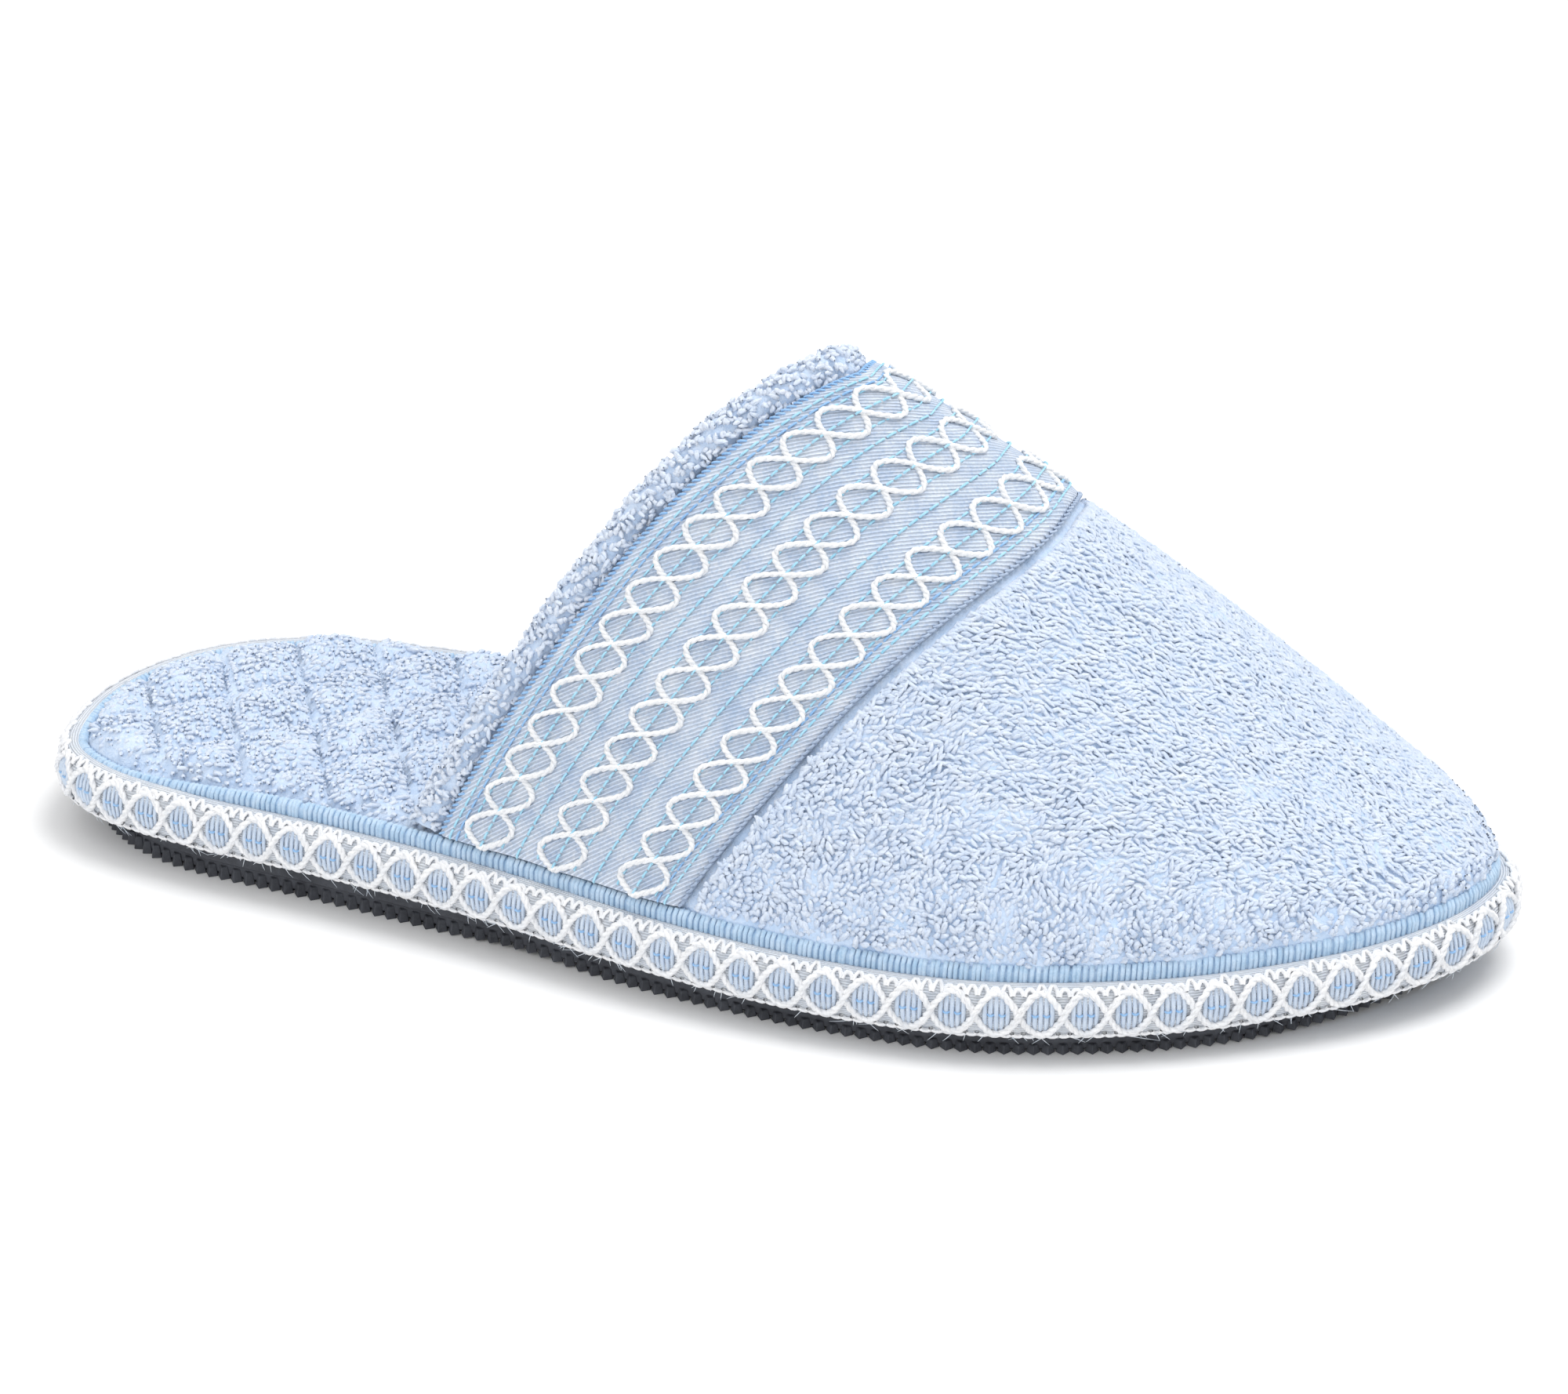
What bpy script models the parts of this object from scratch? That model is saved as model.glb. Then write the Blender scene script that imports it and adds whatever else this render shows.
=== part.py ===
"""Scuff slipper for the right foot: rubber sole, quilted insole, fleece upper and bound edge.

Metres. +X runs from heel to toe, +Y to the big-toe side, +Z up, and the sole stands on z = 0.
"""

import math

import bmesh
import bpy
import numpy as np
from mathutils import Vector

# Driving sizes
LENGTH = 0.255
BALL_WIDTH = 0.095
INSTEP_RISE = 0.086
HEEL_THICKNESS = 0.0062
FORE_THICKNESS = 0.0042
TOE_SPRING = 0.0030
ARCH_RISE = 0.0008
GAP = 0.0003

# Bound edge: the tape's fold, and the selvedge strip that stands between it and the upper
BINDING_HEIGHT = 0.0095
BINDING_DEPTH = 0.0048
PIPING_THICKNESS = 0.0013
PIPING_RISE = 0.0024
PIPING_CROWN = 0.00043

# Upper, its trim and its collar
WALL = 0.0035
TOE_ROUNDING = 0.012
CREST_ROUNDING = 0.35
BAND_THICKNESS = 0.0012
ROLL_WIDTH = 0.0056
ROLL_THICKNESS = 0.0052

# Insole: height at its rim and on its pillows, depth of the quilted lines, and how the edge rolls
INSOLE_RIM = 0.0082
INSOLE_HEIGHT = 0.0125
QUILT_DEPTH = 0.0026
QUILT_AT_RIM = 0.4
INSOLE_ROLL = 0.0070
QUILT_ALONG = 0.0158
QUILT_ACROSS = 0.0137
QUILT_ALONG_ANGLE = math.radians(-63.0)
QUILT_ACROSS_ANGLE = math.radians(42.0)
QUILT_START = (0.507, 0.156)
CELL_STEPS = 4

# Outsole: edge set back under the binding, a step in its side, and lugs underneath
SOLE_INSET = 0.0038
SOLE_END_INSET = 0.0080
SOLE_STEP = 0.0006
SOLE_CHAMFER = 0.0010
LUG_RIM = 0.0070
LUG_PITCH = 0.0090
GROOVE_WIDTH = 0.0035
LUG_DEPTH = 0.0012

# Mesh fineness
AROUND = 96
ARCH_STEPS = 24
BAND_ROWS = 7
TOE_ROWS = 15
ROLL_SIDES = 10
FINE_STEPS = 12
TURN_WEIGHT = 0.020
TOE_CROWDING = 1.7
SHARP_ANGLE = math.radians(50.0)

# How far cutters reach past what they cut
CUTTER_OVERRUN = 0.0050
QUILT_MARGIN = 0.0237

# Plan outline of the bound edge, as shares of the length and of the ball width
OUTLINE = [
    # share, outer side, big-toe side
    (0.000, 0.045, -0.045),
    (0.012, 0.205, 0.110),
    (0.050, 0.286, 0.262),
    (0.120, 0.338, 0.366),
    (0.220, 0.375, 0.392),
    (0.350, 0.435, 0.381),
    (0.480, 0.513, 0.390),
    (0.600, 0.548, 0.427),
    (0.700, 0.532, 0.456),
    (0.800, 0.444, 0.458),
    (0.880, 0.328, 0.414),
    (0.940, 0.213, 0.333),
    (0.985, 0.070, 0.189),
    (1.000, -0.078, 0.078),
]

# Sections of the upper along the length: the crest's rise as a share of the instep's, how far the crest
# leans to the big-toe side as a share of the half width, and the roundness of the arch on each side
# (2 is an ellipse, less is flatter)
SECTION_COLUMNS = ("share", "rise", "lean", "outer_round", "inner_round")
SECTIONS = [
    (0.30, 1.000, 0.38, 1.11, 1.9),
    (0.42, 0.990, 0.38, 1.11, 1.9),
    (0.53, 0.893, 0.38, 1.11, 1.9),
    (0.62, 0.745, 0.38, 1.25, 1.9),
    (0.70, 0.590, 0.38, 1.41, 1.9),
    (0.78, 0.425, 0.36, 1.57, 1.9),
    (0.85, 0.280, 0.32, 1.70, 1.9),
    (0.91, 0.162, 0.24, 1.80, 1.9),
    (0.955, 0.095, 0.12, 1.85, 1.9),
    (1.00, 0.055, 0.00, 1.90, 1.9),
]

# Lines across the upper: outer foot, crest and inner foot as shares of the length, then how squarely the
# line turns on the way down its outer and its inner side
COLLAR_LINE = (0.311, 0.545, 0.345, 1.62, 3.00)
BAND_LINE = (0.492, 0.685, 0.525, 2.48, 3.20)

# Shares of the length where the sole's shape changes
HEEL_END = (0.00, 0.12)
TOE_END = (0.84, 1.00)
THINNING = (0.25, 0.65)
SPRING_START = 0.80
ARCH_SPAN = (0.30, 0.44)
PIPING_GROWTH = (0.05, 0.20)
INSOLE_NARROWING = (0.265, 0.300)
LUG_FIELDS = ((0.06, 0.29), (0.46, 0.91))

# Share of the insole's height that is left towards the toe
INSOLE_TAPER = [(0.00, 1.00), (0.55, 1.00), (0.80, 0.86), (0.92, 0.74), (1.00, 0.66)]

# Section of the bound edge: depth inwards as a share of its depth, height as a share of its height
BINDING_PROFILE = [
    (1.00, 0.00),
    (0.29, 0.00),
    (0.06, 0.22),
    (0.00, 0.50),
    (0.08, 0.78),
    (0.33, 0.97),
    (0.60, 1.00),
    (0.67, 0.82),
    (1.00, 0.82),
]
BINDING_SHELF = 0.82

# Side of the outsole: how far it is set in, as a share of the step and of the chamfer, and its height
# as a share of the rubber's thickness
SOLE_SIDE = [
    (0.0, 0.0, 1.00),
    (0.0, 0.0, 0.52),
    (1.0, 0.0, 0.44),
    (1.0, 0.0, 0.16),
    (1.0, 1.0, 0.00),
]

CHARCOAL = (0.030, 0.034, 0.040)
PALE_BLUE = (0.56, 0.70, 0.84)
TRIM_BLUE = (0.60, 0.71, 0.80)
LIGHT_BLUE = (0.66, 0.78, 0.88)
OFF_WHITE = (0.86, 0.89, 0.91)
STITCH_BLUE = (0.50, 0.68, 0.80)


def ramp(value, span):
    """0 before the span, 1 after it and a smooth rise between."""
    t = min(1.0, max(0.0, (value - span[0]) / (span[1] - span[0])))
    return t * t * (3 - 2 * t)


def table_value(table, column, share):
    """A column's value at a share: a smooth curve through the rows that never overshoots them."""
    places = np.array([row[0] for row in table])
    values = np.array([row[column] for row in table])
    steps = np.diff(places)
    rises = np.diff(values) / steps
    slopes = np.concatenate([rises[:1], np.zeros(len(rises) - 1), rises[-1:]])
    for i in range(1, len(rises)):
        if rises[i - 1] * rises[i] > 0:
            slopes[i] = 2 * rises[i - 1] * rises[i] / (rises[i - 1] + rises[i])
    share = min(places[-1], max(places[0], share))
    i = min(len(rises) - 1, max(0, int(np.searchsorted(places, share)) - 1))
    t = (share - places[i]) / steps[i]
    start = values[i] * (1 + 2 * t) * (1 - t) ** 2 + slopes[i] * steps[i] * t * (1 - t) ** 2
    end = values[i + 1] * t * t * (3 - 2 * t) + slopes[i + 1] * steps[i] * t * t * (t - 1)
    return start + end


def curve_through(before, start, end, after, t):
    """Point of the centripetal curve between start and end."""
    gaps = [math.sqrt(math.dist(a, b)) for a, b in ((before, start), (start, end), (end, after))]
    k0, k1, k2, k3 = 0.0, gaps[0], gaps[0] + gaps[1], sum(gaps)
    k = k1 + t * (k2 - k1)
    a1 = before * ((k1 - k) / (k1 - k0)) + start * ((k - k0) / (k1 - k0))
    a2 = start * ((k2 - k) / (k2 - k1)) + end * ((k - k1) / (k2 - k1))
    a3 = end * ((k3 - k) / (k3 - k2)) + after * ((k - k2) / (k3 - k2))
    b1 = a1 * ((k2 - k) / (k2 - k0)) + a2 * ((k - k0) / (k2 - k0))
    b2 = a2 * ((k3 - k) / (k3 - k1)) + a3 * ((k - k1) / (k3 - k1))
    return b1 * ((k2 - k) / (k2 - k1)) + b2 * ((k - k1) / (k2 - k1))


def outline_loop():
    """Plan outline, centred on the part, from the heel along the outer side to the toe and back.

    Its points lie closer together where it turns.
    """
    outer = [Vector((s * LENGTH, -o * BALL_WIDTH)) for s, o, _ in OUTLINE]
    inner = [Vector((s * LENGTH, i * BALL_WIDTH)) for s, _, i in OUTLINE[1:-1]]
    points = outer + inner[::-1]
    count = len(points)
    fine = []
    for i in range(count):
        four = [points[(i + k) % count] for k in (-1, 0, 1, 2)]
        fine += [curve_through(*four, step / FINE_STEPS) for step in range(FINE_STEPS)]
    fine = np.array(fine)
    ring = np.vstack([fine, fine[:1]])
    run = np.diff(ring, axis=0)
    heading = np.unwrap(np.arctan2(run[:, 1], run[:, 0]))
    turned = np.abs(np.diff(heading, append=heading[:1] + 2 * math.pi))
    walked = np.concatenate([[0], np.cumsum(np.hypot(*run.T) + TURN_WEIGHT * turned)])
    places = np.linspace(0, walked[-1], AROUND + 1)[:-1]
    loop = np.stack([np.interp(places, walked, ring[:, k]) for k in (0, 1)], axis=1)
    return loop - (loop.max(axis=0) + loop.min(axis=0)) / 2


LOOP = outline_loop()


def inset_loop(distances):
    """The outline moved inwards, by one distance or by one for each of its points."""
    along = np.roll(LOOP, -1, axis=0) - np.roll(LOOP, 1, axis=0)
    inwards = np.stack([-along[:, 1], along[:, 0]], axis=1)
    inwards /= np.hypot(*inwards.T)[:, None]
    return LOOP + inwards * np.broadcast_to(distances, (AROUND,))[:, None]


def length_share(x):
    return x / LENGTH + 0.5


def sole_bottom(x):
    share = length_share(x)
    spring = max(0.0, (share - SPRING_START) / (1 - SPRING_START)) ** 2
    across = min(1.0, max(0.0, (share - ARCH_SPAN[0]) / (ARCH_SPAN[1] - ARCH_SPAN[0])))
    return TOE_SPRING * spring + ARCH_RISE * math.sin(math.pi * across) ** 2


def sole_top(x):
    share = length_share(x)
    spring = max(0.0, (share - SPRING_START) / (1 - SPRING_START)) ** 2
    thinned = (HEEL_THICKNESS - FORE_THICKNESS) * ramp(share, THINNING)
    return HEEL_THICKNESS - thinned + TOE_SPRING * spring


def seam_height(x):
    """Where the upper leaves the bound edge."""
    return sole_top(x) + 2 * GAP + BINDING_HEIGHT + PIPING_RISE


UPPER_INSET = BINDING_DEPTH + GAP
UPPER_LOOP = inset_loop(UPPER_INSET)
TOE_TIP = float(UPPER_LOOP[:, 0].max())


def side_of_upper(x, outer):
    """Y of the upper's foot on one side."""
    tip = int(UPPER_LOOP[:, 0].argmax())
    heel = int(UPPER_LOOP[:, 0].argmin())
    if outer:
        side = np.roll(UPPER_LOOP, -heel, axis=0)[: (tip - heel) % AROUND + 1]
    else:
        side = np.roll(UPPER_LOOP, -tip, axis=0)[: (heel - tip) % AROUND + 1][::-1]
    return float(np.interp(x, side[:, 0], side[:, 1]))


def upper_point(x, angle):
    """Point of the upper's skin: angle 0 is the foot of its outer side, pi that of its big-toe side."""
    share = length_share(x)
    rise, lean, outer_round, inner_round = (
        table_value(SECTIONS, column, share) for column in range(1, len(SECTION_COLUMNS))
    )
    outer, inner = side_of_upper(x, True), side_of_upper(x, False)
    half, middle = (inner - outer) / 2, (inner + outer) / 2
    power = 2 / (outer_round if angle < math.pi / 2 else inner_round)
    nose = math.sqrt(max(0.0, 1 - max(0.0, 1 - (TOE_TIP - x) / TOE_ROUNDING) ** 2))
    c, s = math.cos(angle), abs(math.sin(angle))
    reach = CREST_ROUNDING * abs(c) + (1 - CREST_ROUNDING) * abs(c) ** power
    y = middle - half * math.copysign(reach, c) + lean * half * s * s
    return Vector((x, y, seam_height(x) + INSTEP_RISE * rise * nose * s**power))


def line_x(line, angle):
    """X of a line across the upper, at an angle of its arch."""
    outer_foot, crest, inner_foot, outer_turn, inner_turn = line
    foot, turn = (outer_foot, outer_turn) if angle < math.pi / 2 else (inner_foot, inner_turn)
    return (crest - (crest - foot) * abs(math.cos(angle)) ** turn - 0.5) * LENGTH


ANGLES = [math.pi * j / ARCH_STEPS for j in range(ARCH_STEPS + 1)]


def upper_rows():
    """Rows of points over the upper, from the collar to the toe; the last row is its tip."""
    rows = []
    for r in range(BAND_ROWS + 1):
        t = r / BAND_ROWS
        stations = [(1 - t) * line_x(COLLAR_LINE, a) + t * line_x(BAND_LINE, a) for a in ANGLES]
        rows.append([upper_point(x, a) for x, a in zip(stations, ANGLES)])
    for r in range(1, TOE_ROWS):
        left = (1 - r / TOE_ROWS) ** TOE_CROWDING
        stations = [TOE_TIP - (TOE_TIP - line_x(BAND_LINE, a)) * left for a in ANGLES]
        rows.append([upper_point(x, a) for x, a in zip(stations, ANGLES)])
    return rows


def sheet(rows, wrap=False):
    """Mesh of quads between rows of points."""
    bm = bmesh.new()
    grid = [[bm.verts.new(point) for point in row] for row in rows]
    for lower, upper in zip(grid, grid[1:]):
        pairs = list(zip(lower, upper))
        for (a, b), (c, d) in zip(pairs, pairs[1:] + (pairs[:1] if wrap else [])):
            bm.faces.new((a, c, d, b))
    return bm, grid


def cap_across(bm, ring):
    """Closes a ring of the outline with strips from its outer side to its big-toe side."""
    count = len(ring)
    bm.faces.new((ring[0], ring[1], ring[-1]))
    for i in range(1, count // 2 - 1):
        bm.faces.new((ring[i], ring[i + 1], ring[count - i - 1], ring[count - i]))
    bm.faces.new((ring[count // 2 - 1], ring[count // 2], ring[count // 2 + 1]))


def finish(bm, name, collection, material, smooth=True):
    bmesh.ops.recalc_face_normals(bm, faces=bm.faces[:])
    mesh = bpy.data.meshes.new(name)
    bm.to_mesh(mesh)
    bm.free()
    if smooth:
        mesh.shade_smooth()
        mesh.set_sharp_from_angle(angle=SHARP_ANGLE)
    piece = bpy.data.objects.new(name, mesh)
    collection.objects.link(piece)
    if material:
        mesh.materials.append(material)
    return piece


def helper(bm, name, collection):
    piece = finish(bm, name, collection, None, smooth=False)
    piece.hide_render = True
    piece.display_type = "WIRE"
    return piece


def boolean(piece, other, operation):
    modifier = piece.modifiers.new(operation.lower(), "BOOLEAN")
    modifier.operation = operation
    modifier.object = other
    modifier.solver = "EXACT"


def solidify(piece, thickness, offset):
    modifier = piece.modifiers.new("wall", "SOLIDIFY")
    modifier.thickness = thickness
    modifier.offset = offset
    modifier.use_even_offset = True


def material(name, colour, roughness, metallic=0.0):
    made = bpy.data.materials.new(name)
    made.use_nodes = True
    shader = made.node_tree.nodes["Principled BSDF"]
    shader.inputs["Base Color"].default_value = (*colour, 1.0)
    shader.inputs["Roughness"].default_value = roughness
    shader.inputs["Metallic"].default_value = metallic
    made.diffuse_color = (*colour, 1.0)
    return made


def ring_solid(corners):
    """Ring all round the outline. Its corners at a share of the length are depths inwards and heights."""
    sections = [corners(length_share(x)) for x in LOOP[:, 0]]
    rings = []
    for k in range(len(sections[0])):
        loop = inset_loop([section[k][0] for section in sections])
        heights = [section[k][1] for section in sections]
        rings.append([Vector((x, y, sole_top(x) + height)) for (x, y), height in zip(loop, heights)])
    bm, _ = sheet(rings + rings[:1], wrap=True)
    bmesh.ops.remove_doubles(bm, verts=bm.verts[:], dist=GAP / 100)
    return bm


def sole_inset(share):
    """How far the rubber is set back under the bound edge: further round the heel and the toe."""
    at_ends = 1 - ramp(share, HEEL_END) + ramp(share, TOE_END)
    return SOLE_INSET + (SOLE_END_INSET - SOLE_INSET) * at_ends


def sole_loop(extra):
    return inset_loop([sole_inset(length_share(x)) + extra for x in LOOP[:, 0]])


def make_outsole(parts, cutters):
    rings = []
    for step, chamfer, height in SOLE_SIDE:
        ring = []
        for x, y in sole_loop(step * SOLE_STEP + chamfer * SOLE_CHAMFER):
            bottom = sole_bottom(x)
            ring.append(Vector((x, y, bottom + height * (sole_top(x) - bottom))))
        rings.append(ring)
    bm, grid = sheet(rings, wrap=True)
    cap_across(bm, grid[0])
    cap_across(bm, grid[-1])
    sole = finish(bm, "outsole", parts, material("outsole", CHARCOAL, 0.75))
    boolean(sole, make_grooves(cutters), "DIFFERENCE")


def make_grooves(cutters):
    """Grooves between the lugs, kept inside a plain rim."""
    reach = BALL_WIDTH
    bars = bmesh.new()
    for start, end in LUG_FIELDS:
        count = int((end - start) * LENGTH / LUG_PITCH)
        for k in range(count):
            x = (start - 0.5) * LENGTH + (k + 0.5) * LUG_PITCH
            roof = sole_bottom(x) + LUG_DEPTH
            made = bmesh.ops.create_cube(bars, size=1.0)
            bmesh.ops.scale(bars, vec=(GROOVE_WIDTH, 2 * reach, 2 * LUG_DEPTH), verts=made["verts"])
            bmesh.ops.translate(bars, vec=(x, 0, roof - LUG_DEPTH), verts=made["verts"])
    grooves = helper(bars, "grooves", cutters)
    loop = inset_loop(SOLE_INSET + LUG_RIM)
    floor, roof = -CUTTER_OVERRUN, TOE_SPRING + CUTTER_OVERRUN
    field, grid = sheet([[Vector((x, y, z)) for x, y in loop] for z in (floor, roof)], wrap=True)
    cap_across(field, grid[0])
    cap_across(field, grid[1])
    boolean(grooves, helper(field, "lug_field", cutters), "INTERSECT")
    return grooves


def insole_loop():
    fore = UPPER_INSET + WALL + GAP
    return inset_loop(
        [
            UPPER_INSET + (fore - UPPER_INSET) * ramp(length_share(x), INSOLE_NARROWING)
            for x in LOOP[:, 0]
        ]
    )


def edge_distance(loop, x, y):
    """How far a point of the plan is from a loop."""
    start, end = loop, np.roll(loop, -1, axis=0)
    run = end - start
    t = np.clip((((x, y) - start) * run).sum(axis=1) / (run * run).sum(axis=1), 0, 1)
    return float(np.hypot(*(start + run * t[:, None] - (x, y)).T).min())


def quilted_height(loop, x, y, pillow):
    """Top of the insole: it rises from its rim, and dips along the quilted lines."""
    taper = table_value(INSOLE_TAPER, 1, length_share(x))
    risen = math.sin(math.pi / 2 * min(1.0, edge_distance(loop, x, y) / INSOLE_ROLL))
    full = INSOLE_RIM + (INSOLE_HEIGHT - INSOLE_RIM) * risen
    depth = QUILT_DEPTH * (QUILT_AT_RIM + (1 - QUILT_AT_RIM) * risen)
    return sole_top(x) + taper * (full - depth * (1 - pillow))


def make_insole(parts, cutters):
    """Quilted slab with its cells along the quilted lines, cut to the plan of the footbed."""
    loop = insole_loop()
    turn = abs(math.sin(QUILT_ACROSS_ANGLE - QUILT_ALONG_ANGLE))
    along = Vector((math.cos(QUILT_ALONG_ANGLE), math.sin(QUILT_ALONG_ANGLE))) * (QUILT_ALONG / turn)
    across = Vector((math.cos(QUILT_ACROSS_ANGLE), math.sin(QUILT_ACROSS_ANGLE))) * (QUILT_ACROSS / turn)
    start = Vector(((QUILT_START[0] - 0.5) * LENGTH, QUILT_START[1] * BALL_WIDTH))
    cells = math.ceil((LENGTH / 2 + 2 * QUILT_MARGIN) / min(along.length, across.length))
    low, high = loop.min(axis=0) - QUILT_MARGIN, loop.max(axis=0) + QUILT_MARGIN
    bm = bmesh.new()
    bmesh.ops.create_grid(
        bm, x_segments=2 * cells * CELL_STEPS, y_segments=2 * cells * CELL_STEPS, size=cells * CELL_STEPS
    )
    pillows = {}
    for vert in bm.verts:
        i, j = vert.co.x / CELL_STEPS, vert.co.y / CELL_STEPS
        pillows[vert] = math.sqrt(abs(math.sin(math.pi * i) * math.sin(math.pi * j)))
        vert.co.xy = start + along * i + across * j
    outside = [v for v in bm.verts if not (low[0] < v.co.x < high[0] and low[1] < v.co.y < high[1])]
    for vert in outside:
        del pillows[vert]
    bmesh.ops.delete(bm, geom=outside, context="VERTS")
    for vert, pillow in pillows.items():
        vert.co.z = quilted_height(loop, vert.co.x, vert.co.y, pillow)
    made = bmesh.ops.extrude_face_region(bm, geom=bm.faces[:])
    for item in made["geom"]:
        if isinstance(item, bmesh.types.BMVert):
            item.co.z = -INSOLE_HEIGHT
    insole = finish(bm, "insole", parts, material("insole", PALE_BLUE, 0.95))
    floor = [Vector((x, y, sole_top(x) + GAP)) for x, y in loop]
    roof = [Vector((x, y, sole_top(x) + 2 * INSOLE_HEIGHT)) for x, y in loop]
    plan, grid = sheet([floor, roof], wrap=True)
    cap_across(plan, grid[0])
    cap_across(plan, grid[1])
    boolean(insole, helper(plan, "insole_plan", cutters), "INTERSECT")


def make_upper(parts):
    """Skin from the sole's top, up the bound edge and over the arch, with its wall inside."""
    rows = upper_rows()
    full = []
    for row in rows:
        feet = [Vector((p.x, p.y, sole_top(p.x) + GAP)) for p in (row[0], row[-1])]
        full.append([feet[0], *row, feet[1]])
    bm, grid = sheet(full)
    tip = upper_point(TOE_TIP, 0)
    tip_top = bm.verts.new(tip)
    tip_foot = bm.verts.new((tip.x, tip.y, sole_top(tip.x) + GAP))
    last = grid[-1]
    bm.faces.new((last[0], last[1], tip_top, tip_foot))
    bm.faces.new((last[-2], last[-1], tip_foot, tip_top))
    for a, b in zip(last[1:-2], last[2:-1]):
        bm.faces.new((a, b, tip_top))
    upper = finish(bm, "upper", parts, material("upper", PALE_BLUE, 0.95))
    solidify(upper, WALL, -1.0)


def make_trim_band(parts):
    """Tape over the upper, between the collar and the toe: the upper's own rows moved out by the gap."""
    bm, _ = sheet(upper_rows()[: BAND_ROWS + 1])
    bmesh.ops.recalc_face_normals(bm, faces=bm.faces[:])
    bm.normal_update()
    for vert in bm.verts:
        vert.co += vert.normal * GAP
    band = finish(bm, "trim_band", parts, material("trim_band", TRIM_BLUE, 0.9))
    solidify(band, BAND_THICKNESS, 1.0)


def make_collar_roll(parts):
    """Soft roll behind the collar's edge, with an oval section, from side to side."""
    edge, inside = upper_rows()[:2]
    rings = []
    for j, point in enumerate(edge):
        back = (point - inside[j]).normalized()
        run = (edge[min(j + 1, ARCH_STEPS)] - edge[max(j - 1, 0)]).normalized()
        out = back.cross(run).normalized()
        if out.dot(point - Vector((point.x, 0, 0))) < 0:
            out.negate()
        back = (back - run * back.dot(run)).normalized()
        centre = point - out * (WALL / 2) + back * (GAP + ROLL_WIDTH / 2)
        ring = []
        for k in range(ROLL_SIDES):
            turn = 2 * math.pi * k / ROLL_SIDES
            ring.append(
                centre
                + back * (math.cos(turn) * ROLL_WIDTH / 2)
                + out * (math.sin(turn) * ROLL_THICKNESS / 2)
            )
        rings.append(ring)
    bm, grid = sheet(rings, wrap=True)
    bm.faces.new(grid[0])
    bm.faces.new(grid[-1])
    finish(bm, "collar_roll", parts, material("collar_roll", LIGHT_BLUE, 0.95))


def binding_corners(share):
    return [(depth * BINDING_DEPTH, GAP + height * BINDING_HEIGHT) for depth, height in BINDING_PROFILE]


def piping_corners(share):
    """Selvedge strip on the binding's shelf: low behind the heel, and proud from the arch forwards."""
    outer = BINDING_DEPTH - PIPING_THICKNESS
    foot = 2 * GAP + BINDING_SHELF * BINDING_HEIGHT
    top = GAP + BINDING_HEIGHT + PIPING_RISE * ramp(share, PIPING_GROWTH)
    shoulder = top - PIPING_CROWN
    return [
        (BINDING_DEPTH, foot),
        (outer, foot),
        (outer, shoulder),
        ((outer + BINDING_DEPTH) / 2, top),
        (BINDING_DEPTH, shoulder),
    ]


def make_edge_binding(parts):
    finish(ring_solid(binding_corners), "edge_binding", parts, material("edge_binding", OFF_WHITE, 0.9))


def make_seam_piping(parts):
    finish(ring_solid(piping_corners), "seam_piping", parts, material("seam_piping", STITCH_BLUE, 0.85))


def new_collection(name):
    made = bpy.data.collections.new(name)
    bpy.context.scene.collection.children.link(made)
    return made


def main():
    for obj in list(bpy.data.objects):
        bpy.data.objects.remove(obj)
    parts = new_collection("scuff_slipper")
    cutters = new_collection("cutters")
    cutters.hide_render = True
    make_outsole(parts, cutters)
    make_insole(parts, cutters)
    make_upper(parts)
    make_trim_band(parts)
    make_collar_roll(parts)
    make_edge_binding(parts)
    make_seam_piping(parts)


main()
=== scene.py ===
"""Scuff slipper with plush toe, woven trim, quilted footbed, bound edge and ribbed rubber sole.

Metres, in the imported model's frame: +X from heel to toe, +Y to the big-toe side, +Z up.
"""

import math

import bmesh
import bpy
import numpy as np
from mathutils import Matrix, Vector, noise


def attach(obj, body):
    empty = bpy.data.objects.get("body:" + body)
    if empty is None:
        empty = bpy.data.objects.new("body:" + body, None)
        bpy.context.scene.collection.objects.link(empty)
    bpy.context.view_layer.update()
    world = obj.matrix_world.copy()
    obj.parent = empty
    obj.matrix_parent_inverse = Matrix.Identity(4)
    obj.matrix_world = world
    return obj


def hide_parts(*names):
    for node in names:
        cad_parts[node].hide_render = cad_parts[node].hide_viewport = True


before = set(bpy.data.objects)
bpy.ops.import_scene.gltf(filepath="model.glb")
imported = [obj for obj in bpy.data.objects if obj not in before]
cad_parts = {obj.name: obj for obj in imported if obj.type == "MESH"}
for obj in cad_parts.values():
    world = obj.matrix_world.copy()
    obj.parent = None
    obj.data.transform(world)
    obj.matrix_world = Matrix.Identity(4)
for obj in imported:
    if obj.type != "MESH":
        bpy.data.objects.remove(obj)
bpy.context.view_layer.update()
RANDOM = np.random.default_rng(11)

# The photograph's camera: its direction from the shoe, what it looks at, and where the lens axis falls
PHOTO_WIDTH, PHOTO_HEIGHT = 2000, 1778
CAMERA_AZIMUTH = math.radians(17.21)
CAMERA_ELEVATION = math.radians(27.78)
CAMERA_DISTANCE = 1.0
CAMERA_TARGET = Vector((0.0, 0.00427, 0.025))
FOCAL_PIXELS = 7465
AXIS_PIXEL = (988.7, 953.2)
SENSOR_WIDTH = 36.0

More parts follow.
